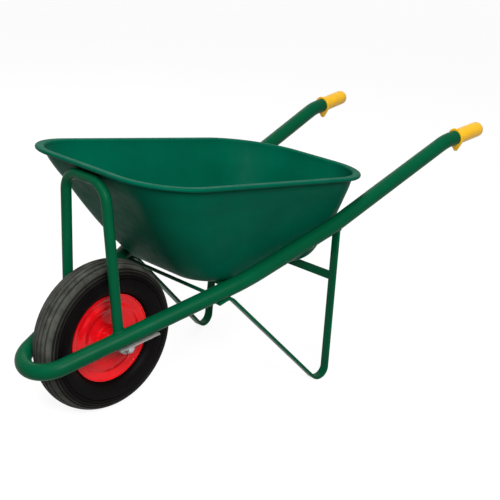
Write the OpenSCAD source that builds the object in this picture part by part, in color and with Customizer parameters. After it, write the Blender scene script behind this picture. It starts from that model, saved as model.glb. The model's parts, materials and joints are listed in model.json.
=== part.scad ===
// Single-wheel wheelbarrow: bent tube frame, pressed tray, pneumatic wheel.
// X runs from the wheel towards the handles, Y across the barrow and Z up.
// The origin lies on the ground, under the middle of the overall box.

/* [Wheel] */
// Outside diameter of the tyre
tyre_d = 400; // [380:2:420]
// Width of the tyre across its sidewalls
tyre_w = 97; // [88:1:104]
// Thickness of the tyre's carcass
tyre_wall = 7; // [5:0.5:9]
// Radius of the tread's crown across the wheel
crown_r = 62; // [55:1:80]
// Number of grooves round the tread
groove_count = 5; // [3:1:6]
// Width of one tread groove
groove_w = 3.6; // [2:0.2:5]
// Depth of one tread groove
groove_depth = 3.2; // [1:0.2:4]
// Diameter over the rim flanges
flange_d = 234; // [228:1:242]
// Diameter of the bead seat
seat_d = 203; // [198:1:208]
// Distance between the rim flanges
rim_w = 50; // [46:1:54]
// Thickness of the wheel's pressed sheet
disc_t = 2.5; // [2:0.25:3.5]
// Radius of the raised ring pressed into each wheel disc
disc_ring_r = 80; // [74:1:86]
// Height of the raised ring over the disc's valleys
disc_ring_h = 7; // [3:0.5:9]
// Wall of the inner tube
tube_wall = 2; // [1.5:0.25:3]

/* [Hub and axle] */
// Outside diameter of the hub
hub_d = 60; // [56:1:66]
// Length of the hub
hub_len = 116; // [104:1:124]
// Diameter of the axle
axle_d = 17; // [15:1:18]
// Outside diameter of a hub bearing
bearing_d = 40; // [38:1:42]
// Width of a hub bearing
bearing_w = 12; // [10:1:14]
// Balls in one bearing
ball_count = 8; // [6:1:8]
// Diameter of a bearing ball
ball_d = 6.7; // [5.5:0.1:7]
// Outside diameter of the axle spacers
spacer_d = 24; // [22:1:26]
// Distance between the inner faces of the axle brackets
bracket_gap = 186; // [176:1:190]
// Thickness of the axle brackets
bracket_t = 5; // [4:0.5:6]
// Length of an axle bracket along its rail
bracket_len = 104; // [96:2:120]
// Radius of an axle bracket round the axle
bracket_r = 20; // [18:0.5:22]
// Width of the axle nuts across their flats
axle_nut_af = 24; // [22:1:26]
// Height of the axle nuts
axle_nut_h = 13; // [10:1:15]

/* [Frame tube] */
// Outside diameter of the frame tube
frame_d = 42; // [36:1:44]
// Wall of the frame tube
frame_wall = 2; // [1.5:0.25:3]
// Gap between the tyre and the loop in front of it
loop_gap = 3; // [2.5:0.5:10]
// Gap between the tyre's side and a rail, at the axle
rail_gap = 54.5; // [50:0.5:60]
// Height of the rails' centre line above the axle
rail_rise = 45.5; // [42:0.5:52]
// Slope of the rails beside the wheel, degrees
front_pitch = 19.4; // [18.5:0.1:20]
// Flare of the rails beside the wheel, seen from above, degrees
front_flare = 17; // [16.2:0.1:17.6]
// Distance from the axle to the bend beside the tray
tray_bend_x = 291; // [280:1:300]
// Slope of the rails beside the tray, degrees
mid_pitch = 17.2; // [16.5:0.1:18]
// Distance from the axle to the bend over the legs
leg_bend_x = 590; // [580:1:600]
// Slope of the handles behind the tray, degrees
rear_pitch = 22.7; // [21.5:0.1:24]
// Flare of the rails beside the tray, seen from above, degrees
rear_flare = 3.55; // [3:0.05:4]
// Distance from the axle to the bend in front of the grips
hand_bend_x = 1029; // [1000:1:1050]
// Slope of the handle ends, degrees
hand_pitch = 8.6; // [5:0.1:11]
// Distance from that bend to the ends of the tube
hand_len = 143; // [134:1:156]
// Centre line radius of the bend beside the tray
tray_bend_r = 420; // [300:10:500]
// Centre line radius of the bend over the legs
leg_bend_r = 500; // [300:10:600]
// Centre line radius of the bend in front of the grips
hand_bend_r = 150; // [100:10:220]

/* [Front hoop] */
// Outside diameter of the hoop tube
hoop_d = 27; // [22:0.5:28]
// Wall of the hoop tube
hoop_wall = 2; // [1.5:0.25:3]
// Distance of the hoop's feet behind (+) or in front (-) of the axle
hoop_foot_x = -32; // [-45:1:-20]
// Distance of the hoop's feet inboard of the rails' centre line
hoop_foot_in = 10; // [4:0.5:12]
// Half the distance between the tops of the hoop's uprights
hoop_half_y = 78; // [72:1:84]
// Centre line radius of the hoop's corners
hoop_bend_r = 55; // [40:1:70]

/* [Tray] */
// Thickness of the tray's sheet
tray_t = 1.5; // [1:0.25:2.5]
// Distance from the axle forward to the front of the rim
rim_front = 73; // [60:1:85]
// Distance from the axle back to the rear of the rim
rim_rear = 762; // [745:1:780]
// Half the width of the rim near its front
rim_front_half = 285; // [275:1:295]
// Half the width of the rim near its rear
rim_rear_half = 268; // [260:1:275]
// Corner radius of the rim at the front
rim_front_r = 150; // [120:1:170]
// Corner radius of the rim at the rear
rim_rear_r = 190; // [150:1:200]
// Height of the front of the rim over the floor
depth_front = 321; // [300:1:340]
// Height of the rear of the rim over the floor
depth_rear = 226; // [210:1:250]
// Distance from the axle back to the front edge of the floor
floor_front = 186; // [176:1:198]
// Distance from the axle back to the rear edge of the floor
floor_rear = 662; // [650:1:676]
// Half the width of the floor
floor_half = 164; // [158:1:166]
// Corner radius of the floor
floor_r = 90; // [60:1:120]
// Width of the lip outside the walls
lip_w = 17; // [12:1:22]
// Diameter of the rolled edge
roll_d = 10; // [8:0.5:12]

/* [Tray fixing] */
// Distance from the axle back to the strap under the tray
strap_x = 272; // [266:1:278]
// Width of the strap
strap_w = 50; // [44:1:56]
// Thickness of the strap
strap_t = 5; // [4:0.5:8]
// Height of the strap's top under the rails' centre line at the same place
strap_drop = 9; // [7.5:0.5:11]
// Diameter of the studs under the tray
stud_d = 8; // [6:1:10]
// Distance between the studs along the barrow
stud_pitch_x = 26; // [22:1:30]
// Distance between the studs across the barrow
stud_pitch_y = 150; // [100:5:200]

/* [Legs] */
// Width of the leg bar
leg_w = 25; // [20:1:30]
// Thickness of the leg bar
leg_t = 8; // [5:0.5:10]
// Distance from the axle back to the front end of the struts
strut_x = 204; // [192:1:210]
// Length of the strut's end that lies along the rail
strut_seat = 38; // [30:1:46]
// Centre line radius of the bend under that end
strut_bend_r = 24; // [16:1:30]
// Distance from the axle back to the top of the legs
leg_x = 608; // [590:1:625]
// Distance from the axle back to the middle of the feet
foot_x = 566; // [550:1:575]
// Half the distance between the feet
foot_half_y = 238; // [230:1:245]
// Centre line radius of the feet
foot_r = 28; // [20:1:36]
// Height of the cross brace between the legs
brace_z = 296; // [260:1:310]
// Width of the cross brace
brace_w = 24; // [18:1:32]
// Thickness of the cross brace
brace_t = 4; // [3:0.5:6]
// Diameter of the tie rod between the struts
tie_d = 10; // [8:0.5:12]

/* [Grips] */
// Length of a grip behind its guard
grip_len = 112; // [104:1:124]
// Diameter of a grip at its middle
grip_d = 45; // [44.5:0.5:48]
// Thickness of a grip's guard
guard_t = 5; // [4:0.5:7]
// Reach of a grip's guard below the tube's centre line
guard_drop = 40; // [38:1:46]

/* [Fits] */
// Gap left at a welded or resting seat
seat_gap = 0.2; // [0.1:0.05:0.3]
// Radial clearance of a stud or screw in its hole
stud_clear = 0.3; // [0.2:0.05:0.5]
// Radial clearance of a turned fit on the axle
fit_clear = 0.05; // [0.02:0.01:0.1]
// Clearance between bearing balls and races
ball_clear = 0.12; // [0.1:0.01:0.2]

/* [Hidden] */
$fn = 64;

frame_green = [0.0, 0.41, 0.25];
tray_green = [0.0, 0.38, 0.30];
wheel_red = [0.85, 0.08, 0.11];
rubber = [0.08, 0.08, 0.08];
zinc = [0.62, 0.62, 0.60];
steel = [0.72, 0.73, 0.75];
grip_yellow = [1.0, 0.77, 0.08];
left = -1;
right = 1;

// ---- Vectors, frames and outlines ----
function unit(v) = v / norm(v);
function lerp(a, b, t) = a + (b - a) * t;
function flip_y(p) = [for (q = p) [q.x, -q.y, q.z]];
function on_circle(r, a) = r * [cos(a), sin(a)];
function arc_points(c, r, a0, a1, n) = [for (i = [0:n]) c + on_circle(r, lerp(a0, a1, i / n))];
function bump(u) = abs(u) < 1 ? (1 + cos(180 * u)) / 2 : 0;

// Touching point on a circle of a line from p; side is +1 or -1
function tangent_point(p, c, r, side) =
    let (v = p - c)
    c + on_circle(r, atan2(v.y, v.x) + side * acos(r / norm(v)));

// Axes of a local frame become ex, ey and ez at the place o
module frame_at(o, ex, ey, ez) {
    multmatrix([
        [ex.x, ey.x, ez.x, o.x],
        [ex.y, ey.y, ez.y, o.y],
        [ex.z, ey.z, ez.z, o.z],
        [0, 0, 0, 1]
    ])
        children();
}

// Angle turned at corner i of a route, and the length its bend takes from each side
function turn(p, i) = acos(unit(p[i] - p[i - 1]) * unit(p[i + 1] - p[i]));
function bend_len(p, r, i) = i == 0 || i == len(p) - 1 ? 0 : r[i] * tan(turn(p, i) / 2);
step_angle = 8;

// Places and directions along a route with a bend of radius r[i] at each corner p[i]
function bend_stations(p, r, i) =
    let (
        t = turn(p, i),
        dir = unit(p[i] - p[i - 1]),
        out = cross(dir, unit(cross(dir, p[i + 1] - p[i]))),
        centre = p[i] - dir * bend_len(p, r, i) - out * r[i],
        n = max(2, ceil(t / step_angle))
    )
    [for (k = [0:n]) let (a = t * k / n)
        [centre + r[i] * (out * cos(a) + dir * sin(a)), dir * cos(a) - out * sin(a)]];
function stations(p, r) =
    let (last = len(p) - 1)
    concat(
        [[p[0], unit(p[1] - p[0])]],
        [for (i = [1:1:last - 1]) each bend_stations(p, r, i)],
        [[p[last], unit(p[last] - p[last - 1])]]
    );

// Round section of radius r at a station; n0 is any direction square to the bends
tube_sides = 24;
function round_ring(st, n0, r) =
    let (side = unit(cross(st[1], n0)), up = cross(side, st[1]))
    [for (i = [0:tube_sides - 1]) let (a = 360 * i / tube_sides) st[0] + r * (cos(a) * side + sin(a) * up)];

// Faces of a skin between count rings of n points, from point number first
function skin(first, count, n, outside) = [
    for (j = [0:count - 2], i = [0:n - 1])
        let (
            a = first + j * n + i,
            b = first + j * n + (i + 1) % n
        )
        each (outside ? [[a, b, b + n], [a, b + n, a + n]] : [[a, b + n, b], [a, a + n, b + n]])
];
function ring_ids(first, n) = [for (i = [0:n - 1]) first + i];
function reversed(v) = [for (i = [len(v) - 1:-1:0]) v[i]];

// Open tube and solid bar along stations
module bent_tube(st, n0, d, wall) {
    n = tube_sides;
    size = len(st) * n;
    outer = [for (q = st) each round_ring(q, n0, d / 2)];
    inner = [for (q = st) each round_ring(q, n0, d / 2 - wall)];
    ends = [
        for (i = [0:n - 1])
            let (k = (i + 1) % n, e = size - n)
            each [
                [i, size + k, k], [i, size + i, size + k],
                [e + i, e + k, size + e + k], [e + i, size + e + k, size + e + i]
            ]
    ];
    polyhedron(
        points = concat(outer, inner),
        faces = concat(skin(0, len(st), n, true), skin(size, len(st), n, false), ends)
    );
}

module bent_bar(st, n0, d) {
    n = tube_sides;
    polyhedron(
        points = [for (q = st) each round_ring(q, n0, d / 2)],
        faces = concat(
            skin(0, len(st), n, true),
            [reversed(ring_ids(0, n)), ring_ids((len(st) - 1) * n, n)]
        )
    );
}

// Band on both sides of a flat route: half thickness h
function band(st, h) = concat(
    [for (q = st) let (m = [-q[1].y, q[1].x]) [q[0].x, q[0].y] + h * m],
    [for (q = reversed(st)) let (m = [-q[1].y, q[1].x]) [q[0].x, q[0].y] - h * m]
);

// Sheet of thickness t that follows flat points
function mitred(p, i, h) =
    let (
        a = unit(p[max(i, 1)] - p[max(i, 1) - 1]),
        b = unit(p[min(i + 1, len(p) - 1)] - p[min(i, len(p) - 2)]),
        m = unit(a + b)
    )
    p[i] + h / (m * a) * [-m.y, m.x];
function sheet(p, t) = concat(
    [for (i = [0:len(p) - 1]) mitred(p, i, t / 2)],
    [for (i = [len(p) - 1:-1:0]) mitred(p, i, -t / 2)]
);

// ---- Route of the frame tube ----
tyre_r = tyre_d / 2;
axle_z = tyre_r;
frame_r = frame_d / 2;
rail_half_y = tyre_w / 2 + rail_gap + frame_r;
rail_z = axle_z + rail_rise;
bend_y = rail_half_y + tray_bend_x * tan(front_flare);
bend_z = rail_z + tray_bend_x * tan(front_pitch);
over_leg_y = bend_y + (leg_bend_x - tray_bend_x) * tan(rear_flare);
over_leg_z = bend_z + (leg_bend_x - tray_bend_x) * tan(mid_pitch);
hand_y = over_leg_y + (hand_bend_x - leg_bend_x) * tan(rear_flare);
hand_z = over_leg_z + (hand_bend_x - leg_bend_x) * tan(rear_pitch);
hand_dir = [cos(hand_pitch) * cos(rear_flare), cos(hand_pitch) * sin(rear_flare), sin(hand_pitch)];

function rail_y(x) = x < tray_bend_x
    ? rail_half_y + x * tan(front_flare)
    : bend_y + (x - tray_bend_x) * tan(rear_flare);
function rail_height(x) = x < tray_bend_x
    ? rail_z + x * tan(front_pitch)
    : x < leg_bend_x
    ? bend_z + (x - tray_bend_x) * tan(mid_pitch)
    : over_leg_z + (x - leg_bend_x) * tan(rear_pitch);
function rail_point(x) = [x, rail_y(x), rail_height(x)];

// The loop and the rails beside the wheel lie in one tilted plane, with s along its slope
in_flare = atan(tan(front_flare) * cos(front_pitch));
along = [cos(front_pitch), 0, sin(front_pitch)];
above = [-sin(front_pitch), 0, cos(front_pitch)];
function tilted(s, y, n) = [0, y, rail_z] + s * along + n * above;
function tilted_rail_y(s) = rail_half_y + s * tan(in_flare);
loop_s = -(tyre_r + loop_gap + frame_r) / cos(front_pitch);
loop_r = tilted_rail_y(loop_s) * cos(in_flare) / (1 - sin(in_flare));
rail_apex = tilted(-rail_half_y / tan(in_flare), 0, 0);

bend_point = [tray_bend_x, bend_y, bend_z];
over_leg = [leg_bend_x, over_leg_y, over_leg_z];
hand_point = [hand_bend_x, hand_y, hand_z];
hand_end = hand_point + hand_len * hand_dir;
rail_route = [bend_point, over_leg, hand_point, hand_end];
rail_bends = [tray_bend_r, leg_bend_r, hand_bend_r, 0];
frame_route = concat(reversed(flip_y(rail_route)), [rail_apex], rail_route);
frame_bends = concat(reversed(rail_bends), [loop_r], rail_bends);
frame_stations = stations(frame_route, frame_bends);

// The right rail alone, and a stretch of it as a solid with room for its welded neighbours
rail_start = rail_point(-tyre_r / 2);
right_rail = stations(concat([rail_start], rail_route), concat([0], rail_bends));
front_stretch = [0, 1];
bend_stretch = [0, 4];
leg_stretch = [3, 7];
module rail_space(stretch) {
    bent_bar([for (i = [stretch[0]:stretch[1]]) right_rail[i]], above, frame_d + 2 * seat_gap);
}

// ---- Overall place ----
grip_r = grip_d / 2;
grip_end_t = 15;
grip_round = 17;
grip_belly = 0.5;
tip_centre = hand_end + (grip_end_t - grip_round) * hand_dir;
x_max = tip_centre.x + (grip_r - grip_round) * sqrt(1 - hand_dir.x * hand_dir.x) + grip_round;
x_min = -(tyre_r + loop_gap + frame_d);
mid_x = (x_min + x_max) / 2;

module place() {
    translate([-mid_x, 0, 0])
        children();
}

// A part turned about the axle: its own Z runs along the axle to the right-hand side
module about_axle() {
    translate([0, 0, axle_z])
        rotate([-90, 0, 0])
            children();
}

module both_sides() {
    children();
    mirror([0, 1, 0])
        children();
}

// ---- Frame tube ----
screw_s = [-34, 34];
screw_d = 8;
bracket_n = -(frame_r + seat_gap);

module along_screw(s, side) {
    frame_at(tilted(s, side * tilted_rail_y(s), 0), along, [0, 1, 0], above)
        children();
}

module frame_tube() {
    color(frame_green)
        place()
            difference() {
                bent_tube(frame_stations, above, frame_d, frame_wall);
                for (side = [left, right], s = screw_s)
                    along_screw(s, side)
                        translate([0, 0, -frame_r - 5])
                            cylinder(h = frame_r, d = screw_d + 2 * stud_clear);
            }
}

// ---- Tray ----
strap_z = rail_height(strap_x) - strap_drop;
floor_z = strap_z + seat_gap;
floor_line = [floor_front, floor_rear, floor_half, floor_half, floor_r, floor_r];
wall_line = [
    lip_w - rim_front, rim_rear - lip_w, rim_front_half - lip_w,
    rim_rear_half - lip_w, rim_front_r - lip_w, rim_rear_r - lip_w
];
outward = [-1, 1, 1, 1, 1, 1];
corner_growth = 3;
corner_steps = 10;
side_steps = 6;

function rim_height(x) =
    floor_z + lerp(depth_front, depth_rear, (x + rim_front) / (rim_front + rim_rear));

// Half outline of the tray: front edge, corner, side, corner and rear edge.
// q holds the front, the rear, both half widths and both corner radii.
function half_outline(q) =
    let (
        c1 = [q[0] + q[4], q[2] - q[4]],
        c2 = [q[1] - q[5], q[3] - q[5]],
        v = c2 - c1,
        lean = atan2(v.y, v.x) + acos((q[4] - q[5]) / norm(v)),
        a = arc_points(c1, q[4], 180, lean, corner_steps),
        b = arc_points(c2, q[5], lean, 0, corner_steps),
        from = a[corner_steps],
        to = b[0]
    )
    concat(
        [[q[0], 0], [q[0], c1.y / 2]], a,
        [for (i = [1:side_steps - 1]) lerp(from, to, i / side_steps)],
        b, [[q[1], c2.y / 2], [q[1], 0]]
    );

// Closed ring at share s of the way from floor to rim, share h of the height,
// e further out and dz higher; its corners open out mostly near the rim
function tray_ring(s, h, e, dz) =
    let (
        q = lerp(floor_line, wall_line, s),
        r = lerp(floor_line, wall_line, pow(s, corner_growth)),
        half = half_outline([q[0], q[1], q[2], q[3], r[4], r[5]] + e * outward),
        n = len(half),
        flat = concat(half, [for (i = [n - 2:-1:1]) [half[i].x, -half[i].y]])
    )
    [for (p = flat) [p.x, p.y, floor_z + h * (rim_height(p.x) - floor_z) + dz]];

function curve3(a, b, c, n) = [for (i = [0:n]) let (t = i / n) lerp(lerp(a, b, t), lerp(b, c, t), t)];
wall_share = concat(
    curve3([-0.10, 0], [0, 0], [0.10, 0.10], 5),
    [[0.32, 0.32], [0.55, 0.55]],
    curve3([0.76, 0.755], [0.975, 0.93], [1, 1], 5)
);
roll_r = roll_d / 2;
lip_round = roll_d * 0.6;
curl_steps = 8;

inner_wall = [for (w = wall_share) [w.x, w.y, -tray_t, (1 - w.y) * tray_t + w.y * (roll_r - lip_round)]];
outer_wall = [for (w = wall_share) [w.x, w.y, 0, w.y * (roll_r - lip_round - tray_t)]];
lip_top = [
    [1, 1, lip_round * 0.3 - tray_t, roll_r - lip_round * 0.3],
    [1, 1, lip_round - tray_t, roll_r],
    [1, 1, lip_w * 0.6, roll_r]
];
lip_under = [
    [1, 1, lip_w * 0.6, roll_r - tray_t],
    [1, 1, lip_round - tray_t / 2, roll_r - tray_t],
    [1, 1, lip_round * 0.3, roll_r - tray_t - lip_round * 0.3]
];
function curl(r, a0, a1) = [
    for (p = arc_points([0, 0], r, a0, a1, curl_steps)) [1, 1, lip_w + p.x, p.y]
];
tray_section = concat(
    inner_wall, lip_top, curl(roll_r, 90, -160), curl(roll_r - tray_t, -160, 90),
    lip_under, [for (i = [len(outer_wall) - 1:-1:0]) outer_wall[i]]
);

module tray_shell() {
    rings = [for (q = tray_section) tray_ring(q[0], q[1], q[2], q[3])];
    n = len(rings[0]);
    m = len(rings);
    middle = [(floor_front + floor_rear) / 2, 0, floor_z];
    top = m * n;
    last = (m - 1) * n;
    polyhedron(
        points = concat([for (ring = rings) each ring], [middle + [0, 0, tray_t], middle]),
        faces = concat(
            skin(0, m, n, false),
            [for (i = [0:n - 1]) [i, (i + 1) % n, top]],
            [for (i = [0:n - 1]) [last + (i + 1) % n, last + i, top + 1]]
        )
    );
}

module at_tray_studs() {
    for (x = [-0.5, 0.5], y = [-0.5, 0.5])
        translate([strap_x + x * stud_pitch_x, y * stud_pitch_y, floor_z])
            children();
}

module tray() {
    color(tray_green)
        place()
            tray_shell();
}

module tray_strap() {
    color(frame_green)
        place()
            difference() {
                translate([strap_x - strap_w / 2, -rail_y(strap_x), strap_z - strap_t])
                    cube([strap_w, 2 * rail_y(strap_x), strap_t]);
                both_sides()
                    rail_space(bend_stretch);
                at_tray_studs()
                    translate([0, 0, -3 * strap_t])
                        cylinder(h = 6 * strap_t, d = stud_d + 2 * stud_clear);
            }
}

nut_h = stud_d * 0.8;
washer_t = stud_d * 0.2;
strap_under = -seat_gap - strap_t;

module washer(d, bore, h) {
    difference() {
        cylinder(h = h, d = d);
        translate([0, 0, -1])
            cylinder(h = h + 2, d = bore);
    }
}

// Hexagon with chamfered corners
module hexagon(af, h) {
    corner_r = af / 2 / cos(30);
    bevel = (corner_r - af / 2) * 0.6;
    intersection() {
        cylinder(h = h, r = corner_r, $fn = 6);
        rotate_extrude()
            polygon([[0, 0], [af / 2, 0], [corner_r, bevel], [corner_r, h - bevel], [af / 2, h], [0, h]]);
    }
}

module hex_nut(af, h, bore) {
    difference() {
        hexagon(af, h);
        translate([0, 0, -1])
            cylinder(h = h + 2, d = bore);
    }
}

// Studs welded to the underside of the floor
module tray_studs() {
    length = strap_t + washer_t + nut_h + stud_d / 2;
    color(zinc)
        place()
            at_tray_studs()
                translate([0, 0, -seat_gap - length])
                    cylinder(h = length, d = stud_d);
}

module tray_washers() {
    color(zinc)
        place()
            at_tray_studs()
                translate([0, 0, strap_under - seat_gap - washer_t])
                    washer(2 * stud_d, stud_d + 2 * stud_clear, washer_t);
}

module tray_nuts() {
    color(zinc)
        place()
            at_tray_studs()
                translate([0, 0, strap_under - 2 * seat_gap - washer_t - nut_h])
                    hex_nut(stud_d * 1.625, nut_h, stud_d + 2 * fit_clear);
}

// ---- Front hoop: an inverted U that carries the front of the tray ----
hoop_r = hoop_d / 2;
rest_facet = 11;
function tray_front(i) =
    let (w = outer_wall[i])
    tray_ring(w[0], w[1], w[2], w[3])[0];
rest_low = tray_front(rest_facet);
rest_high = tray_front(rest_facet + 1);
rest_dir = unit(rest_high - rest_low);
hoop_bar = (rest_low + rest_high) / 2 + (hoop_r + seat_gap) * [-rest_dir.z, 0, rest_dir.x];
hoop_foot = [hoop_foot_x, rail_y(hoop_foot_x) - hoop_foot_in, rail_height(hoop_foot_x) + frame_r / 4];
hoop_corner = [hoop_bar.x, hoop_half_y, hoop_bar.z];
hoop_route = concat(flip_y([hoop_foot, hoop_corner]), [hoop_corner, hoop_foot]);

module front_hoop() {
    color(frame_green)
        place()
            difference() {
                bent_tube(stations(hoop_route, [0, hoop_bend_r, hoop_bend_r, 0]), [1, 0, 0], hoop_d, hoop_wall);
                both_sides()
                    rail_space(front_stretch);
            }
}

// ---- Legs: each a flat bar bent in one leaning plane ----
seat_mid_x = strut_x + strut_seat / 2;
seat_mid = rail_point(seat_mid_x) - (frame_r + seat_gap + leg_t / 2) * above;
leg_top = rail_point(leg_x);
foot_outer = foot_r + leg_t / 2;
foot_guess = [foot_x, foot_half_y, foot_outer];
leg_normal = unit(cross(leg_top - seat_mid, foot_guess - seat_mid));
leg_across = unit(cross(leg_normal, [0, 0, 1]));
leg_up = cross(leg_across, leg_normal);
foot_z = foot_outer * leg_up.z + leg_w / 2 * abs(leg_normal.z);
foot_centre = foot_guess + (foot_z - foot_guess.z) / leg_up.z * leg_up;
function in_leg_plane(q) = [(q - foot_centre) * leg_across, (q - foot_centre) * leg_up];
function flat3(q) = [q.x, q.y, 0];

seat_dir3 = unit(cross(leg_normal, above));
seat_dir = [seat_dir3 * leg_across, seat_dir3 * leg_up];
seat_end = in_leg_plane(seat_mid) + strut_seat / 2 * seat_dir;
seat_start = in_leg_plane(seat_mid) - strut_seat / 2 * seat_dir;
leg_end = in_leg_plane(leg_top);
touch_strut = tangent_point(seat_end, [0, 0], foot_r, 1);
touch_leg = tangent_point(leg_end, [0, 0], foot_r, -1);
touch_mid = unit(touch_strut + touch_leg);
foot_half_turn = acos(unit(touch_strut) * unit(touch_leg)) / 2;
foot_corner = touch_mid * foot_r / cos(foot_half_turn);
leg_route = [flat3(seat_start), flat3(seat_end), flat3(foot_corner), flat3(leg_end)];
leg_stations = stations(leg_route, [0, strut_bend_r, foot_r, 0]);

module in_leg_frame() {
    frame_at(foot_centre, leg_across, leg_up, -leg_normal)
        children();
}

module leg_bar() {
    difference() {
        in_leg_frame()
            linear_extrude(leg_w, center = true)
                polygon(band(leg_stations, leg_t / 2));
        rail_space(leg_stretch);
    }
}

// Everything beyond the inner face of a leg, less a seat gap
module beyond_leg() {
    reach = 3 * leg_w;
    span = leg_x;
    in_leg_frame()
        translate([-span, -span / 4, leg_w / 2 + seat_gap - reach])
            cube([2 * span, 2 * span, reach]);
}

module leg_left() {
    color(frame_green)
        place()
            mirror([0, 1, 0])
                leg_bar();
}

module leg_right() {
    color(frame_green)
        place()
            leg_bar();
}

leg_foot3 = foot_centre + touch_leg.x * leg_across + touch_leg.y * leg_up;
brace_mid = lerp(leg_foot3, leg_top, (brace_z - leg_foot3.z) / (leg_top.z - leg_foot3.z));

module leg_brace() {
    color(frame_green)
        place()
            difference() {
                translate([brace_mid.x, 0, brace_z])
                    cube([brace_t, 2 * brace_mid.y, brace_w], center = true);
                both_sides()
                    beyond_leg();
            }
}

module strut_tie_rod() {
    color(frame_green)
        place()
            difference() {
                translate([seat_mid.x, 0, seat_mid.z])
                    rotate([90, 0, 0])
                        cylinder(h = 2 * seat_mid.y, d = tie_d, center = true);
                both_sides()
                    beyond_leg();
            }
}

// ---- Axle brackets: a flange under the rail and a web with a round boss ----
bracket_y = bracket_gap / 2;
boss_centre = [-rail_rise * sin(front_pitch), -rail_rise * cos(front_pitch)];
flange_out = frame_r * 0.8;
flange_n = bracket_n - bracket_t;

module bracket() {
    half = bracket_len / 2;
    a = [-half, bracket_n - bracket_t / 2];
    b = [half, bracket_n - bracket_t / 2];
    difference() {
        union() {
            frame_at(tilted(0, 0, flange_n), along, [0, 1, 0], above)
                linear_extrude(bracket_t)
                    polygon([
                        [-half, bracket_y], [half, bracket_y],
                        [half, tilted_rail_y(half) + flange_out], [-half, tilted_rail_y(-half) + flange_out]
                    ]);
            frame_at(tilted(0, bracket_y, 0), along, above, [0, -1, 0])
                translate([0, 0, -bracket_t])
                    linear_extrude(bracket_t)
                        union() {
                            polygon([
                                a, tangent_point(a, boss_centre, bracket_r, 1), boss_centre,
                                tangent_point(b, boss_centre, bracket_r, -1), b
                            ]);
                            translate(boss_centre)
                                circle(r = bracket_r);
                        }
        }
        translate([0, bracket_y - 1, axle_z])
            rotate([-90, 0, 0])
                cylinder(h = bracket_t + 2, d = axle_d + 2 * stud_clear);
        for (s = screw_s)
            along_screw(s, right)
                translate([0, 0, flange_n - 1])
                    cylinder(h = bracket_t + 2, d = screw_d + 2 * stud_clear);
    }
}

module axle_bracket_left() {
    color(zinc)
        place()
            mirror([0, 1, 0])
                bracket();
}

module axle_bracket_right() {
    color(zinc)
        place()
            bracket();
}

module bracket_screws() {
    head_h = screw_d * 0.7;
    color(zinc)
        place()
            for (side = [left, right], s = screw_s)
                along_screw(s, side)
                    translate([0, 0, flange_n - seat_gap - head_h]) {
                        hexagon(screw_d * 1.625, head_h);
                        cylinder(h = head_h + bracket_t + frame_wall + 5, d = screw_d);
                    }
}

// ---- Axle, bearings and hub ----
bearing_recess = 3;
bearing_out = hub_len / 2 - bearing_recess;
bearing_in = bearing_out - bearing_w;
axle_washer_t = 2.5;
axle_washer_d = 30;
axle_end = 4;
axle_bevel = 1.5;
axle_bore = axle_d + 2 * fit_clear;
ball_pitch_r = (bearing_d + axle_d) / 4;
race_land = (bearing_d - axle_d) / 4 - ball_d * 0.36;
hub_r = hub_d / 2;

module both_ends() {
    about_axle()
        children();
    about_axle()
        mirror([0, 0, 1])
            children();
}

module axle() {
    half = bracket_y + bracket_t + axle_washer_t + axle_nut_h + axle_end;
    r = axle_d / 2;
    color(steel)
        place()
            about_axle()
                rotate_extrude()
                    polygon([
                        [0, -half], [r - axle_bevel, -half], [r, axle_bevel - half],
                        [r, half - axle_bevel], [r - axle_bevel, half], [0, half]
                    ]);
}

module axle_washers() {
    color(zinc)
        place()
            both_ends()
                translate([0, 0, bracket_y + bracket_t + seat_gap])
                    washer(axle_washer_d, axle_d + 2 * stud_clear, axle_washer_t);
}

module axle_nuts() {
    color(zinc)
        place()
            both_ends()
                translate([0, 0, bracket_y + bracket_t + axle_washer_t + 2 * seat_gap])
                    hex_nut(axle_nut_af, axle_nut_h, axle_bore);
}

module axle_spacers() {
    color(zinc)
        place()
            both_ends()
                translate([0, 0, bearing_out + seat_gap])
                    washer(spacer_d, axle_bore, bracket_y - bearing_out - 2 * seat_gap);
}

module bearing_sleeve() {
    color(steel)
        place()
            about_axle()
                translate([0, 0, seat_gap - bearing_in])
                    washer(spacer_d, axle_bore, 2 * (bearing_in - seat_gap));
}

// Race ring between two radii, grooved for the balls
module race(r0, r1) {
    rotate_extrude()
        difference() {
            translate([r0, bearing_in])
                square([r1 - r0, bearing_w]);
            translate([ball_pitch_r, bearing_in + bearing_w / 2])
                circle(r = ball_d / 2 + ball_clear);
        }
}

module bearing_inner_races() {
    color(steel)
        place()
            both_ends()
                race(axle_d / 2 + fit_clear, axle_d / 2 + race_land);
}

module bearing_outer_races() {
    color(steel)
        place()
            both_ends()
                race(bearing_d / 2 - race_land, bearing_d / 2);
}

module bearing_balls() {
    color(steel)
        place()
            both_ends()
                for (i = [0:ball_count - 1])
                    rotate([0, 0, 360 * i / ball_count])
                        translate([ball_pitch_r, 0, bearing_in + bearing_w / 2])
                            sphere(d = ball_d);
}

module wheel_hub() {
    half = hub_len / 2;
    seat = bearing_d / 2 + fit_clear;
    shoulder = seat - 3;
    color(zinc)
        place()
            about_axle()
                rotate_extrude()
                    polygon([
                        [hub_r, -half], [hub_r, half], [seat, half], [seat, bearing_in], [shoulder, bearing_in],
                        [shoulder, -bearing_in], [seat, -bearing_in], [seat, -half]
                    ]);
}

// ---- Rim: two pressed discs and the barrel between them ----
flange_r = flange_d / 2;
seat_r = seat_d / 2;
rim_half = rim_w / 2;
flange_mid = rim_half + disc_t / 2;
dish_w = rim_half - 5;
valley_w = dish_w + 2;
valley_r = seat_r - 2.5;
disc_ring_half = 20;
collar_r = hub_r + seat_gap + disc_t / 2;
roll_mid_r = flange_r - disc_t / 2;
dish_step = 4;

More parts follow.
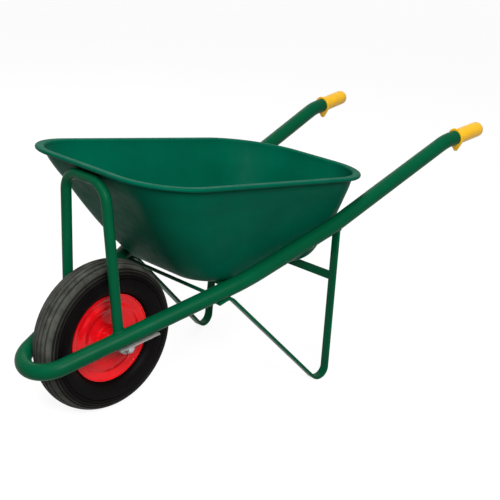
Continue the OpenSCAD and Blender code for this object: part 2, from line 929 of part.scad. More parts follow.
function dish(r) =
    dish_w + disc_ring_h * bump((r - disc_ring_r) / disc_ring_half)
        + (valley_w - dish_w) * max(0, (r - disc_ring_r) / (valley_r - disc_ring_r));
disc_line = concat(
    [[collar_r, dish_w + 10], [collar_r, dish_w + 3], [collar_r + 1, dish_w + 1]],
    [for (r = [collar_r + 3.5:dish_step:valley_r]) [r, dish(r)]],
    [
        [seat_r + 0.5, flange_mid - 3.4], [seat_r + 3, flange_mid - 1.2], [seat_r + 5.5, flange_mid],
        [flange_r - 5, flange_mid], [flange_r - 2.4, flange_mid + 0.8],
        [roll_mid_r, flange_mid + 2.8], [roll_mid_r, flange_mid + 5]
    ]
);

valve_angle = 60;
valve_r = disc_ring_r + 4;
valve_d = 8;
valve_reach = 50;

module wheel_disc() {
    rotate_extrude()
        polygon(sheet(disc_line, disc_t));
}

module wheel_disc_left() {
    color(wheel_red)
        place()
            about_axle()
                mirror([0, 0, 1])
                    wheel_disc();
}

module wheel_disc_right() {
    color(wheel_red)
        place()
            about_axle()
                difference() {
                    wheel_disc();
                    rotate([0, 0, valve_angle])
                        translate([valve_r, 0, 0])
                            cylinder(h = valve_reach, d = valve_d + 4 * stud_clear);
                }
}

module rim_barrel() {
    half = valley_w - disc_t / 2 - seat_gap;
    color(wheel_red)
        place()
            about_axle()
                difference() {
                    translate([0, 0, -half])
                        washer(seat_d, seat_d - 2 * disc_t, 2 * half);
                    rotate([0, 0, valve_angle])
                        rotate([0, 90, 0])
                            cylinder(h = seat_d, d = valve_d + 2 * stud_clear);
                }
}

// ---- Tyre and inner tube ----
widest_r = flange_r + 35;
half_w = tyre_w / 2;
shoulder_w = half_w - 10.5;
bead_w = rim_half - seat_gap;
bead_r = seat_r + seat_gap;
toe_w = bead_w - 14;
crown_in = tyre_r - tyre_wall - groove_depth;
groove_pitch = 2 * shoulder_w / (groove_count + 1);
function crown(w) = tyre_r - crown_r + sqrt(crown_r * crown_r - w * w);
function across(p) = [for (q = reversed(p)) [q.x, -q.y]];

tread = [
    for (i = [0:groove_count - 1])
        let (
            a = (i - (groove_count - 1) / 2) * groove_pitch - groove_w / 2,
            b = a + groove_w
        )
        each [[crown(a), a], [crown(a) - groove_depth, a], [crown(b) - groove_depth, b], [crown(b), b]]
];
side_wall = concat(
    curve3([crown(shoulder_w), shoulder_w], [widest_r + 27, half_w], [widest_r, half_w], 5),
    curve3([widest_r - 8, half_w - 0.5], [flange_r + 7, half_w - 3], [flange_r + 2, rim_half + 2.5], 4),
    [[flange_r - 1.5, bead_w], [bead_r + 5, bead_w], [bead_r, bead_w - 5.3]]
);

// Half of the tyre's cavity, drawn in by e, from the bead's toe up to the crown
function cavity(e) = concat(
    [[bead_r + e, toe_w - e]],
    curve3([seat_r + 14, toe_w + 2 - e], [widest_r - 18, half_w - tyre_wall - e], [widest_r, half_w - tyre_wall - e], 4),
    curve3(
        [widest_r + 6, half_w - tyre_wall - e - 0.2], [crown_in - e - 2, half_w - tyre_wall - e],
        [crown_in - e, toe_w], 5
    )
);

module tyre() {
    color(rubber)
        place()
            about_axle()
                rotate_extrude($fn = 96)
                    polygon(concat(across(side_wall), tread, side_wall, cavity(0), across(cavity(0))));
}

module inner_tube() {
    outer = cavity(seat_gap);
    inner = cavity(seat_gap + tube_wall);
    color(rubber)
        place()
            about_axle()
                difference() {
                    rotate_extrude()
                        difference() {
                            polygon(concat(outer, across(outer)));
                            polygon(concat(inner, across(inner)));
                        }
                    rotate([0, 0, valve_angle])
                        rotate([0, 90, 0])
                            cylinder(h = seat_d / 2 + 5 * tube_wall, d = valve_d + 2 * stud_clear);
                }
}

module valve_stem() {
    top = bead_r + seat_gap + tube_wall + 0.3;
    color(rubber)
        place()
            about_axle()
                rotate([0, 0, valve_angle]) {
                    translate([valve_r, 0, 0])
                        sphere(d = valve_d + 3);
                    translate([valve_r, 0, 0])
                        cylinder(h = valve_reach, d = valve_d);
                    translate([valve_r, 0, 0])
                        rotate([0, 90, 0])
                            cylinder(h = top + 1 - valve_r, d = valve_d);
                    translate([top, 0, 0])
                        rotate([0, 90, 0])
                            cylinder(h = 1.8, d = 2 * valve_d);
                }
}

module valve_cap() {
    cap_h = 13;
    color(rubber)
        place()
            about_axle()
                rotate([0, 0, valve_angle])
                    translate([valve_r, 0, valve_reach + seat_gap + 2 - cap_h])
                        difference() {
                            cylinder(h = cap_h, d = valve_d + 3.5);
                            translate([0, 0, -1])
                                cylinder(h = cap_h - 1, d = valve_d + 2 * fit_clear);
                        }
}

// ---- Grips: closed sleeves with a drop-shaped guard ----
guard_r = frame_r + 8;
guard_tip_r = 10;
grip_start = grip_end_t - grip_len;
hand_side = unit(cross(hand_dir, [0, 0, 1]));
hand_down = cross(hand_dir, hand_side);

function grip_radius(z) = grip_r - grip_belly * pow(2 * (z - grip_start) / grip_len - 1, 2);

module guard_outline() {
    tip = [0, guard_drop - guard_tip_r];
    lean = acos((guard_r - guard_tip_r) / tip.y);
    union() {
        circle(r = guard_r);
        translate(tip)
            circle(r = guard_tip_r);
        polygon([
            on_circle(guard_r, 90 - lean), tip + on_circle(guard_tip_r, 90 - lean),
            tip + on_circle(guard_tip_r, 90 + lean), on_circle(guard_r, 90 + lean)
        ]);
    }
}

module grip() {
    neck = grip_start + guard_t - 0.5;
    body = concat(
        [[0, neck]],
        [for (z = [neck:(grip_end_t - grip_round - neck) / 6:grip_end_t - grip_round]) [grip_radius(z), z]],
        arc_points([grip_r - grip_round, grip_end_t - grip_round], grip_round, 10, 90, 6),
        [[0, grip_end_t]]
    );
    frame_at(hand_end, hand_side, hand_down, hand_dir)
        difference() {
            union() {
                rotate_extrude()
                    polygon(body);
                translate([0, 0, grip_start])
                    linear_extrude(guard_t)
                        guard_outline();
            }
            translate([0, 0, grip_start - 1])
                cylinder(h = grip_len - grip_end_t + 1 + seat_gap, d = frame_d + 2 * fit_clear);
        }
}

module grip_left() {
    color(grip_yellow)
        place()
            mirror([0, 1, 0])
                grip();
}

module grip_right() {
    color(grip_yellow)
        place()
            grip();
}

frame_tube();
front_hoop();
leg_left();
leg_right();
leg_brace();
strut_tie_rod();
tray_strap();
tray();
tray_studs();
tray_washers();
tray_nuts();
axle_bracket_left();
axle_bracket_right();
bracket_screws();
axle();
axle_nuts();
axle_washers();
axle_spacers();
bearing_sleeve();
bearing_inner_races();
bearing_outer_races();
bearing_balls();
wheel_hub();
wheel_disc_left();
wheel_disc_right();
rim_barrel();
tyre();
inner_tube();
valve_stem();
valve_cap();
grip_left();
grip_right();
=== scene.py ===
"""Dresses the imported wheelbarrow: smooth tubes, pressed tray, ribbed tyre, grips, paint and rubber."""

import json
from math import acos, atan, atan2, ceil, cos, degrees, pi, radians, sin, tan

import bmesh
import bpy
import numpy as np
from bpy.props import FloatProperty, FloatVectorProperty, IntProperty, PointerProperty
from bpy.types import NodeSocket, Operator, Panel, PropertyGroup
from mathutils import Matrix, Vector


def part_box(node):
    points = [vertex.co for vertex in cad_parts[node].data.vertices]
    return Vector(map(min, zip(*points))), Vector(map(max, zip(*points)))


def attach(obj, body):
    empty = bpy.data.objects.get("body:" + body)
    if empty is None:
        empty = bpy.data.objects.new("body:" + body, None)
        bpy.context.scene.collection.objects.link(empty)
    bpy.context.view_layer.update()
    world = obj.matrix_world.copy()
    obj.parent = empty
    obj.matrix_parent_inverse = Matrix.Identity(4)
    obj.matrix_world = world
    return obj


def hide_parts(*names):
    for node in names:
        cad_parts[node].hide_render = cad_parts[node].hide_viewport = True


bl_info = {
    "name": "Wheelbarrow",
    "version": (1, 0, 0),
    "blender": (4, 5, 0),
    "location": "3D View > Sidebar > Wheelbarrow",
    "description": "Builds the visible surfaces and finishes of a single-wheel wheelbarrow",
    "category": "Object",
}

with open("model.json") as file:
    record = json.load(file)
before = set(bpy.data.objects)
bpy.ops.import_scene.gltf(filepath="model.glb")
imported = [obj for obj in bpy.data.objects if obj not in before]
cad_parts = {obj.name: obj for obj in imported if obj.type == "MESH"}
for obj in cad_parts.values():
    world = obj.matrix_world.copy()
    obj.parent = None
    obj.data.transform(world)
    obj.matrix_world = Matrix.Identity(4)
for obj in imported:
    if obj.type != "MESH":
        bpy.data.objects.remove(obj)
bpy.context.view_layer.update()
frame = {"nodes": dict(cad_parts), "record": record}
RECORD = frame["record"]
NODES = frame["nodes"]
TYRE_LOW, TYRE_HIGH = (np.array(corner, float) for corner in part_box("tyre"))
AXLE = (TYRE_LOW + TYRE_HIGH) / 2
TYRE_HALF, TYRE_R = (float(v) for v in (TYRE_HIGH - AXLE)[1:])
# Width of the shoulder at each side of the tread, reach of the widest part over the flange, run of
# a groove's flank, and places of the shoulder's grooves along it, in metres
SHOULDER = 0.0105
WIDEST = 0.035
FLANK = 0.0008
SHOULDER_GROOVES = np.array([0.0045, 0.0125, 0.0205, 0.0285])


def linear(red, green, blue):
    """Linear values of a display colour given as 0 to 255."""
    c = np.array([red, green, blue]) / 255
    c = np.where(c <= 0.04045, c / 12.92, ((c + 0.055) / 1.055) ** 2.4)
    return tuple(float(v) for v in c)


def length(name, description, default):
    return FloatProperty(name=name, description=description, default=default, unit="LENGTH", precision=4)


def angle(name, description, value):
    return FloatProperty(name=name, description=description, default=radians(value), subtype="ANGLE")


def colour(name, description, rgb):
    return FloatVectorProperty(
        name=name, description=description, default=linear(*rgb), subtype="COLOR", min=0.0, max=1.0
    )


class BarrowTubes(PropertyGroup):
    """Sizes of the frame tube and the front hoop."""

    tube_d: length("Tube", "Outside diameter of the frame tube", 0.042)
    loop_gap: length("Loop gap", "Gap between the tyre and the loop in front of it", 0.003)
    rail_half_y: length("Rail offset", "Distance of a rail from the middle, at the axle", 0.124)
    rail_rise: length("Rail rise", "Height of the rails over the axle", 0.0455)
    front_pitch: angle("Front slope", "Slope of the rails beside the wheel", 19.4)
    front_flare: angle("Front flare", "Flare of the rails beside the wheel", 17.0)
    tray_bend_x: length("Tray bend", "From the axle to the bend beside the tray", 0.291)
    mid_pitch: angle("Middle slope", "Slope of the rails beside the tray", 17.2)
    leg_bend_x: length("Leg bend", "From the axle to the bend over the legs", 0.590)
    rear_pitch: angle("Rear slope", "Slope of the handles behind the tray", 22.7)
    rear_flare: angle("Rear flare", "Flare of the rails beside the tray", 3.55)
    hand_bend_x: length("Hand bend", "From the axle to the bend in front of the grips", 1.029)
    hand_pitch: angle("Hand slope", "Slope of the handle ends", 8.6)
    hand_len: length("Hand length", "Length of tube behind the last bend", 0.143)
    tray_bend_r: length("Tray bend radius", "Radius of the bend beside the tray", 0.420)
    leg_bend_r: length("Leg bend radius", "Radius of the bend over the legs", 0.500)
    hand_bend_r: length("Hand bend radius", "Radius of the bend in front of the grips", 0.150)
    hoop_d: length("Hoop tube", "Outside diameter of the hoop tube", 0.027)
    hoop_foot_x: length("Hoop feet", "Distance of the hoop's feet behind the axle", -0.032)
    hoop_foot_in: length("Hoop feet inboard", "Distance of the feet inside the rails' centre line", 0.010)
    hoop_half_y: length("Hoop half width", "Half the distance between the hoop's upper corners", 0.078)
    hoop_bend_r: length("Hoop bend radius", "Radius of the hoop's corners", 0.055)
    sides: IntProperty(name="Sides", description="Points round a tube", default=48, min=12, max=96)


class BarrowTray(PropertyGroup):
    """Sizes of the pressed tray."""

    sheet: length("Sheet", "Thickness of the sheet", 0.0015)
    rim_front: length("Rim front", "From the axle forward to the rim", 0.073)
    rim_rear: length("Rim rear", "From the axle back to the rim", 0.762)
    rim_front_half: length("Rim front width", "Half the width of the rim near its front", 0.285)
    rim_rear_half: length("Rim rear width", "Half the width of the rim near its rear", 0.268)
    rim_front_r: length("Rim front corner", "Corner radius of the rim at the front", 0.150)
    rim_rear_r: length("Rim rear corner", "Corner radius of the rim at the rear", 0.190)
    depth_front: length("Front depth", "Height of the front of the rim over the floor", 0.321)
    depth_rear: length("Rear depth", "Height of the rear of the rim over the floor", 0.226)
    floor_front: length("Floor front", "From the axle back to the front of the floor", 0.186)
    floor_rear: length("Floor rear", "From the axle back to the rear of the floor", 0.662)
    floor_half: length("Floor half width", "Half the width of the floor", 0.164)
    floor_r: length("Floor corner", "Corner radius of the floor at the front", 0.090)
    floor_rear_r: length("Floor rear corner", "Corner radius of the floor at the rear", 0.116)
    lip_w: length("Lip", "Width of the lip outside the walls", 0.017)
    roll_d: length("Roll", "Diameter of the rolled edge", 0.010)
    belly: FloatProperty(name="Belly", description="Share by which the walls curve outwards", default=0.035)


class BarrowWheel(PropertyGroup):
    """Sizes of the tyre and the wheel discs."""

    crown_r: length("Crown", "Radius of the tread's crown across the wheel", 0.062)
    groove_w: length("Groove", "Width of a tread groove", 0.0036)
    groove_depth: length("Groove depth", "Depth of a tread groove", 0.0032)
    groove_count: IntProperty(name="Grooves", description="Grooves round the tread", default=5, min=3, max=6)
    flange_r: length("Flange", "Radius over the rim flanges", 0.117)
    seat_r: length("Bead seat", "Radius of the bead seat", 0.1015)
    rim_half: length("Rim half width", "Half the distance between the rim flanges", 0.025)
    disc_t: length("Disc sheet", "Thickness of the wheel's pressed sheet", 0.0025)
    ring_r: length("Ring", "Radius of the raised ring in each disc", 0.080)
    ring_h: length("Ring height", "Height of the raised ring", 0.006)
    ring_half: length("Ring half width", "Half the width of the raised ring", 0.020)
    hub_r: length("Hub", "Radius of the hub", 0.030)
    hub_half: length("Hub half length", "Half the length of the hub", 0.058)
    hub_bore_r: length("Hub bore", "Radius of the bearing seats in the hub", 0.0201)
    hub_seat: length("Hub seat", "Depth of the bearing seats", 0.015)
    hub_neck_r: length("Hub neck", "Radius of the bore between the bearing seats", 0.0171)
    tyre_wall: length("Carcass", "Thickness of the tyre's carcass", 0.007)
    turns: IntProperty(name="Turns", description="Points round the wheel", default=144, min=48, max=288)


class BarrowLegs(PropertyGroup):
    """Sizes of the legs and the grips."""

    bar_w: length("Bar width", "Width of the leg bar", 0.025)
    bar_t: length("Bar thickness", "Thickness of the leg bar", 0.008)
    strut_x: length("Strut", "From the axle back to the front of the struts", 0.204)
    strut_seat: length("Strut seat", "Length of the strut's end that lies along the rail", 0.038)
    strut_bend_r: length("Strut bend", "Radius of the bend under that end", 0.024)
    leg_x: length("Leg top", "From the axle back to the top of the legs", 0.608)
    foot_x: length("Foot", "From the axle back to the middle of the feet", 0.566)
    foot_half_y: length("Foot half width", "Half the distance between the feet", 0.238)
    foot_r: length("Foot bend", "Radius of the feet", 0.028)
    seat_gap: length("Seat gap", "Gap left at a welded seat", 0.0002)
    grip_len: length("Grip", "Length of a grip behind its guard", 0.112)
    grip_r: length("Grip radius", "Radius of a grip at its middle", 0.0221)
    grip_end: length("Grip end", "Reach of a grip past the end of the tube", 0.015)
    guard_t: length("Guard", "Thickness of a grip's guard", 0.005)
    guard_r: length("Guard radius", "Radius of a grip's guard round the tube", 0.0268)
    guard_tip_r: length("Guard tip", "Radius of the guard's hanging tip", 0.0085)
    guard_drop: length("Guard drop", "Reach of the guard below the tube's centre line", 0.042)


class BarrowColours(PropertyGroup):
    """Colours of the finishes."""

    tube_green: colour("Tube paint", "Paint on the tubes and legs", (0, 82, 51))
    tray_green: colour("Tray paint", "Paint on the tray", (0, 87, 65))
    red: colour("Disc paint", "Paint on the wheel discs and hub", (234, 16, 26))
    rubber: colour("Rubber", "Side walls of the tyre", (8, 6, 6))
    tread: colour("Tread", "Worn face of the tread", (94, 96, 89))
    zinc: colour("Zinc", "Plated brackets and nuts", (152, 152, 148))
    steel: colour("Steel", "Bright turned steel", (176, 178, 182))
    plastic: colour("Black plastic", "Cap of the valve", (24, 24, 26))
    yellow: colour("Grips", "Moulded plastic of the grips", (250, 190, 12))
    floor: colour("Floor", "Floor of the stage", (122, 122, 122))


# ---- Surfaces ----


def joined(*parts, axis=0):
    return np.concatenate(parts, axis)


def stack(*parts):
    """Points from their coordinates, given as arrays that broadcast together."""
    return np.stack(np.broadcast_arrays(*parts), -1)


def unit(v):
    """Vector divided by its length, row by row."""
    v = np.asarray(v, float)
    return v / np.linalg.norm(v, axis=-1, keepdims=True)


def grid_faces(rows, columns, looped):
    """Quads between neighbouring points of a grid. The columns wrap, and so do the rows if looped."""
    r = np.arange(rows if looped else rows - 1)[:, None]
    c = np.arange(columns)[None, :]
    r2 = (r + 1) % rows
    c2 = (c + 1) % columns
    corners = [r * columns + c, r * columns + c2, r2 * columns + c2, r2 * columns + c]
    return stack(*corners).reshape(-1, 4)


def volume_of(points, quads):
    """Signed volume: a sixth of the sum of a . (b x c) over the two triangles of each quad."""
    a, b, c, d = (points[quads[:, i]] for i in range(4))
    return float(np.sum(a * np.cross(b, c)) + np.sum(a * np.cross(c, d))) / 6


def surface(name, grids, body, slot, replaces=(), sharp=35.0, looped=False, finish=None):
    """One piece from closed grids, whose columns always wrap. Looped grids wrap their rows too; the
    others have their ends drawn in to the middle. The finish is the slot's unless one is named."""
    all_points = []
    all_faces = []
    first = 0
    for points in grids:
        if not looped:
            low = np.broadcast_to(points[0].mean(0), points[0].shape)
            high = np.broadcast_to(points[-1].mean(0), points[-1].shape)
            points = joined(low[None], points, high[None])
        rows, columns = points.shape[:2]
        faces = grid_faces(rows, columns, looped)
        flat = points.reshape(-1, 3)
        if volume_of(flat - flat.mean(0), faces) < 0:
            faces = faces[:, ::-1]
        all_points.append(flat)
        all_faces.append(faces + first)
        first += len(flat)
    mesh = bpy.data.meshes.new(name)
    mesh.from_pydata(np.concatenate(all_points).tolist(), [], np.concatenate(all_faces).tolist())
    tidy = bmesh.new()
    tidy.from_mesh(mesh)
    bmesh.ops.remove_doubles(tidy, verts=tidy.verts, dist=1e-6)
    bmesh.ops.dissolve_degenerate(tidy, edges=tidy.edges, dist=1e-7)
    tidy.to_mesh(mesh)
    tidy.free()
    mesh.polygons.foreach_set("use_smooth", np.ones(len(mesh.polygons), bool))
    mesh.set_sharp_from_angle(angle=radians(sharp))
    mesh.materials.append(finish_of(finish or slot))
    mesh.update()
    piece = bpy.data.objects.new(name, mesh)
    bpy.context.scene.collection.objects.link(piece)
    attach(piece, body)
    if replaces:
        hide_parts(*replaces)
    return piece


def flipped(points):
    """The same points on the other side of the barrow."""
    return points * np.array([1.0, -1.0, 1.0])


def run_along(line):
    """Distance of each point from the first, measured along the line."""
    return joined([0], np.cumsum(np.linalg.norm(np.diff(line, axis=0), axis=1)))


def resampled(line, distances):
    """Places on a flat line at these distances along it."""
    run = run_along(line)
    return stack(*(np.interp(distances, run, line[:, i]) for i in range(2)))


def bent_path(corners, radii, step=radians(3)):
    """Straight runs joined by arcs. At a corner turning by t, an arc of radius r starts r tan(t / 2)
    before the corner; its points are centre + r (out cos k + forward sin k) for k from 0 to t."""
    corners = np.asarray(corners, float)
    places = [corners[:1]]
    heads = [unit(corners[1:2] - corners[:1])]
    for before, at, after, r in zip(corners, corners[1:], corners[2:], radii[1:]):
        forward = unit(at - before)
        onward = unit(after - at)
        turn = acos(float(np.clip(forward @ onward, -1, 1)))
        out = np.cross(forward, unit(np.cross(forward, onward)))
        centre = at - forward * r * tan(turn / 2) - out * r
        k = np.linspace(0, turn, max(2, ceil(turn / step)) + 1)[:, None]
        places.append(centre + r * (out * np.cos(k) + forward * np.sin(k)))
        heads.append(forward * np.cos(k) - out * np.sin(k))
    places.append(corners[-1:])
    heads.append(unit(corners[-1:] - corners[-2:-1]))
    return np.concatenate(places), np.concatenate(heads)


def carried(places, heads, reference, profile):
    """Profile (u, v) carried square to a path: place + u side + v up, with side = head x reference."""
    side = unit(np.cross(heads, reference))
    up = np.cross(side, heads)
    profile = np.asarray(profile)
    if profile.ndim == 2:
        profile = profile[None]
    return places[:, None] + profile[..., 0:1] * side[:, None] + profile[..., 1:2] * up[:, None]


def round_profile(r, sides):
    """Circle: r (cos a, sin a)."""
    a = np.linspace(0, 2 * pi, sides, endpoint=False)
    return r * stack(np.cos(a), np.sin(a))


def bar_profile(width, thickness, corner, steps=4):
    """Rectangle with quarter-circle corners."""
    a = np.linspace(0, pi / 2, steps + 1)
    turns = (np.arange(4) * pi / 2)[:, None] + a[None, :]
    centre_u = np.array([1, -1, -1, 1])[:, None] * (width / 2 - corner)
    centre_v = np.array([1, 1, -1, -1])[:, None] * (thickness / 2 - corner)
    return stack(centre_u + corner * np.cos(turns), centre_v + corner * np.sin(turns)).reshape(-1, 2)


def spun(profile, turns):
    """Profile of (r, w) turned about the w axis: (r cos a, r sin a, w)."""
    a = np.linspace(0, 2 * pi, turns, endpoint=False)[None, :]
    return stack(profile[:, 0:1] * np.cos(a), profile[:, 0:1] * np.sin(a), profile[:, 1:2])


def turned(profile, turns):
    """The same about the axle."""
    return AXLE + spun(profile, turns)[..., [0, 2, 1]]


def curve3(a, b, c, steps):
    """Quadratic curve from a to c drawn towards b: (1-t)^2 a + 2 t (1-t) b + t^2 c."""
    t = np.linspace(0, 1, steps + 1)[:, None]
    a, b, c = (np.asarray(p, float) for p in (a, b, c))
    return (1 - t) ** 2 * a + 2 * t * (1 - t) * b + t**2 * c


def arc(centre, r, start, end, steps):
    """Arc about a centre from start to end, in degrees."""
    a = np.radians(np.linspace(start, end, steps + 1))
    return np.asarray(centre) + r * stack(np.cos(a), np.sin(a))


# ---- Routes of the tubes and legs ----


class Route:
    """Centre lines of the frame tube, the hoop and the legs, worked out from the sizes."""

    def __init__(self, tubes, legs):
        t = tubes
        self.tubes = t
        self.r = t.tube_d / 2
        pitch = t.front_pitch
        flare = t.front_flare
        self.rail_z = t.rail_rise
        spread = tan(t.rear_flare)
        bend_x = t.tray_bend_x
        bend = np.array([bend_x, self.rail_y(bend_x), self.rail_z + bend_x * tan(pitch)])
        over = bend + (t.leg_bend_x - bend_x) * np.array([1, spread, tan(t.mid_pitch)])
        hand = over + (t.hand_bend_x - t.leg_bend_x) * np.array([1, spread, tan(t.rear_pitch)])
        self.bend, self.over, self.hand = bend, over, hand
        level = cos(t.hand_pitch)
        self.hand_dir = np.array(
            [level * cos(t.rear_flare), level * sin(t.rear_flare), sin(t.hand_pitch)]
        )
        self.hand_end = hand + t.hand_len * self.hand_dir
        in_flare = atan(tan(flare) * cos(pitch))
        self.along = np.array([cos(pitch), 0, sin(pitch)])
        self.above = np.array([-sin(pitch), 0, cos(pitch)])
        loop_s = -(TYRE_R + t.loop_gap + self.r) / cos(pitch)
        half = t.rail_half_y + loop_s * tan(in_flare)
        self.loop_r = half * cos(in_flare) / (1 - sin(in_flare))
        self.apex = np.array([0, 0, self.rail_z]) - t.rail_half_y / tan(in_flare) * self.along
        self.legs(legs)

    def rail_y(self, x):
        t = self.tubes
        if x <= t.tray_bend_x:
            return t.rail_half_y + x * tan(t.front_flare)
        return self.bend[1] + (x - t.tray_bend_x) * tan(t.rear_flare)

    def rail_point(self, x):
        t = self.tubes
        if x < t.tray_bend_x:
            z = self.rail_z + x * tan(t.front_pitch)
        elif x < t.leg_bend_x:
            z = self.bend[2] + (x - t.tray_bend_x) * tan(t.mid_pitch)
        else:
            z = self.over[2] + (x - t.leg_bend_x) * tan(t.rear_pitch)
        return np.array([x, self.rail_y(x), z])

    def rail_head(self, x):
        return unit(self.rail_point(x + 0.002) - self.rail_point(x - 0.002))

    def frame_path(self):
        t = self.tubes
        side = np.array([self.bend, self.over, self.hand, self.hand_end])
        corners = joined(flipped(side)[::-1], self.apex[None], side)
        bends = [t.hand_bend_r, t.leg_bend_r, t.tray_bend_r]
        radii = [0, *bends, self.loop_r, *bends[::-1]]
        places, heads = bent_path(corners, radii)
        return places + AXLE, heads

    def hoop_corners(self):
        t = self.tubes
        low, high = (np.array(corner, float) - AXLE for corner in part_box("front_hoop"))
        foot = self.rail_point(t.hoop_foot_x) + np.array([0, -t.hoop_foot_in, self.r / 4])
        corner = np.array([low[0] + t.hoop_d / 2, t.hoop_half_y, high[2] - t.hoop_d / 2])
        return corner, foot

    def hoop_path(self):
        corner, foot = self.hoop_corners()
        bend_r = self.tubes.hoop_bend_r
        places, heads = bent_path([flipped(foot), flipped(corner), corner, foot], [0, bend_r, bend_r, 0])
        return places + AXLE, heads

    def legs(self, g):
        foot_outer = g.foot_r + g.bar_t / 2
        seat_x = g.strut_x + g.strut_seat / 2
        seat = self.rail_point(seat_x) - (self.r + g.seat_gap + g.bar_t / 2) * self.above
        top = self.rail_point(g.leg_x)
        guess = np.array([g.foot_x, g.foot_half_y, foot_outer - AXLE[2]])
        normal = unit(np.cross(top - seat, guess - seat))
        across = unit(np.cross(normal, [0, 0, 1]))
        up = np.cross(across, normal)
        foot_z = foot_outer * up[2] + g.bar_w / 2 * abs(normal[2]) - AXLE[2]
        centre = guess + (foot_z - guess[2]) / up[2] * up
        self.leg_normal = normal

        def flat(q):
            return np.array([(q - centre) @ across, (q - centre) @ up])

        def touch(p, side):
            a = atan2(p[1], p[0]) + side * acos(g.foot_r / np.linalg.norm(p))
            return g.foot_r * np.array([cos(a), sin(a)])

        seat_dir = unit(np.cross(normal, self.above))
        seat_dir = np.array([seat_dir @ across, seat_dir @ up])
        end = flat(seat) + g.strut_seat / 2 * seat_dir
        start = flat(seat) - g.strut_seat / 2 * seat_dir
        top_flat = flat(top)
        touch_strut, touch_leg = touch(end, 1), touch(top_flat, -1)
        middle = unit(touch_strut + touch_leg)
        half_turn = acos(float(np.clip(unit(touch_strut) @ unit(touch_leg), -1, 1))) / 2
        corner = middle * g.foot_r / cos(half_turn)
        corners = np.array([start, end, corner, top_flat])
        self.leg_corners = centre + corners[:, 0:1] * across + corners[:, 1:2] * up
        self.leg_radii = [0, g.strut_bend_r, g.foot_r, 0]

    def leg_path(self):
        places, heads = bent_path(self.leg_corners, self.leg_radii, radians(4))
        return places + AXLE, heads


def route():
    scene = bpy.context.scene
    return Route(scene.barrow_tubes, scene.barrow_legs)


# ---- Finishes ----


def put(tree, made, values):
    """Sets inputs of a node, by name or number. A value that is itself a socket is linked."""
    for key, value in values.items():
        if isinstance(value, NodeSocket):
            tree.links.new(value, made.inputs[key])
        else:
            made.inputs[key].default_value = value


def node(tree, kind, values, output=0, **settings):
    """One output of a new node with these inputs and settings."""
    made = tree.nodes.new("ShaderNode" + kind)
    for key, value in settings.items():
        setattr(made, key, value)
    put(tree, made, values)
    return made.outputs[output]


def tree_of(name):
    """A new material with its node tree and its shader."""
    material = bpy.data.materials.new(name)
    material.use_nodes = True
    tree = material.node_tree
    tree.nodes.clear()
    shader = tree.nodes.new("ShaderNodeBsdfPrincipled")
    put(tree, tree.nodes.new("ShaderNodeOutputMaterial"), {"Surface": shader.outputs["BSDF"]})
    return material, tree, shader


def noise(tree, source, scale, detail=3.0, rough=0.5):
    values = {"Vector": source, "Scale": scale, "Detail": detail, "Roughness": rough}
    return node(tree, "TexNoise", values, "Fac")


def ranged(tree, source, *limits):
    """Value carried from a range to another; the limits are low, high, new low and new high."""
    return node(tree, "MapRange", dict(enumerate((source, *limits))))


def drifting(tree, place, scale, detail=3.0, rough=0.5):
    """Share from 0 to 1 that wanders over the surface."""
    return ranged(tree, noise(tree, place, scale, detail, rough), 0.3, 0.7, 0.0, 1.0)


def blended(tree, share, first, second):
    """Colour between two colours by a share."""
    first, second = (c if isinstance(c, NodeSocket) else (*c, 1.0) for c in (first, second))
    return node(tree, "Mix", {"A": first, "B": second, "Factor": share}, "Result", data_type="RGBA")


def calc(tree, operation, *values):
    return node(tree, "Math", dict(enumerate(values)), operation=operation)


def product(tree, first, *others):
    for other in others:
        first = calc(tree, "MULTIPLY", first, other)
    return first


def hypotenuse(tree, a, b):
    """Square root of a a + b b."""
    return calc(tree, "SQRT", calc(tree, "ADD", product(tree, a, a), product(tree, b, b)))


def raised(tree, shader, height, distance):
    """Relief in the shader's normal: the height times the distance."""
    values = {"Distance": distance, "Strength": 1.0, "Height": height}
    put(tree, shader, {"Normal": node(tree, "Bump", values, "Normal")})


def object_place(tree):
    return node(tree, "TexCoord", {}, "Object")


def mottled(tree, share, rgb, dull, bright):
    """The colour, from dull to bright times itself by a share."""
    return blended(tree, share, *(tuple(min(1.0, c * f) for c in rgb) for f in (dull, bright)))


def gloss_paint(name, rgb, rough, peel, dull, bright, shine, coat=0.0):
    """Sprayed paint: a soft drift of colour, a faint orange peel and, for red, a thin clear coat."""
    material, tree, shader = tree_of(name)
    place = object_place(tree)
    haze = noise(tree, place, 38.0, 4.0)
    put(tree, shader, {
        "Base Color": mottled(tree, drifting(tree, place, 7.0, 4.0), rgb, dull, bright),
        "Roughness": ranged(tree, haze, 0.3, 0.7, rough - 0.05, rough + 0.09),
        "Coat Weight": coat, "Coat Roughness": 0.12, "Specular IOR Level": shine,
    })
    raised(tree, shader, noise(tree, place, 420.0, 2.0), peel)
    return material


def axle_polar(tree):
    """Distance from the axle, distance from the wheel's middle plane, and the wheel-centred place."""
    place = node(tree, "Mapping", {"Vector": object_place(tree), "Location": tuple(-AXLE)}, "Vector")
    split = tree.nodes.new("ShaderNodeSeparateXYZ")
    put(tree, split, {0: place})
    x, y, z = split.outputs
    return hypotenuse(tree, x, z), calc(tree, "ABSOLUTE", y), place


def tread_radius(g, w):
    """Radius of the tread's crown at a place across it: an arc of radius crown_r under the tyre's own."""
    return TYRE_R - g.crown_r + np.sqrt(g.crown_r**2 - w * w)


def groove_cut(width, off):
    """Share of a groove's depth at a distance from its centre: 1 inside, falling to 0 over its flank."""
    return np.clip((width / 2 + FLANK / 2 - off) / FLANK, 0, 1)


def shoulder_line(g):
    """Line from the edge of the tread round the shoulder to the widest part of the side wall."""
    w = TYRE_HALF - SHOULDER
    widest = g.flange_r + WIDEST
    return curve3([tread_radius(g, w), w], [widest + 0.027, TYRE_HALF], [widest, TYRE_HALF], 120)[1:]


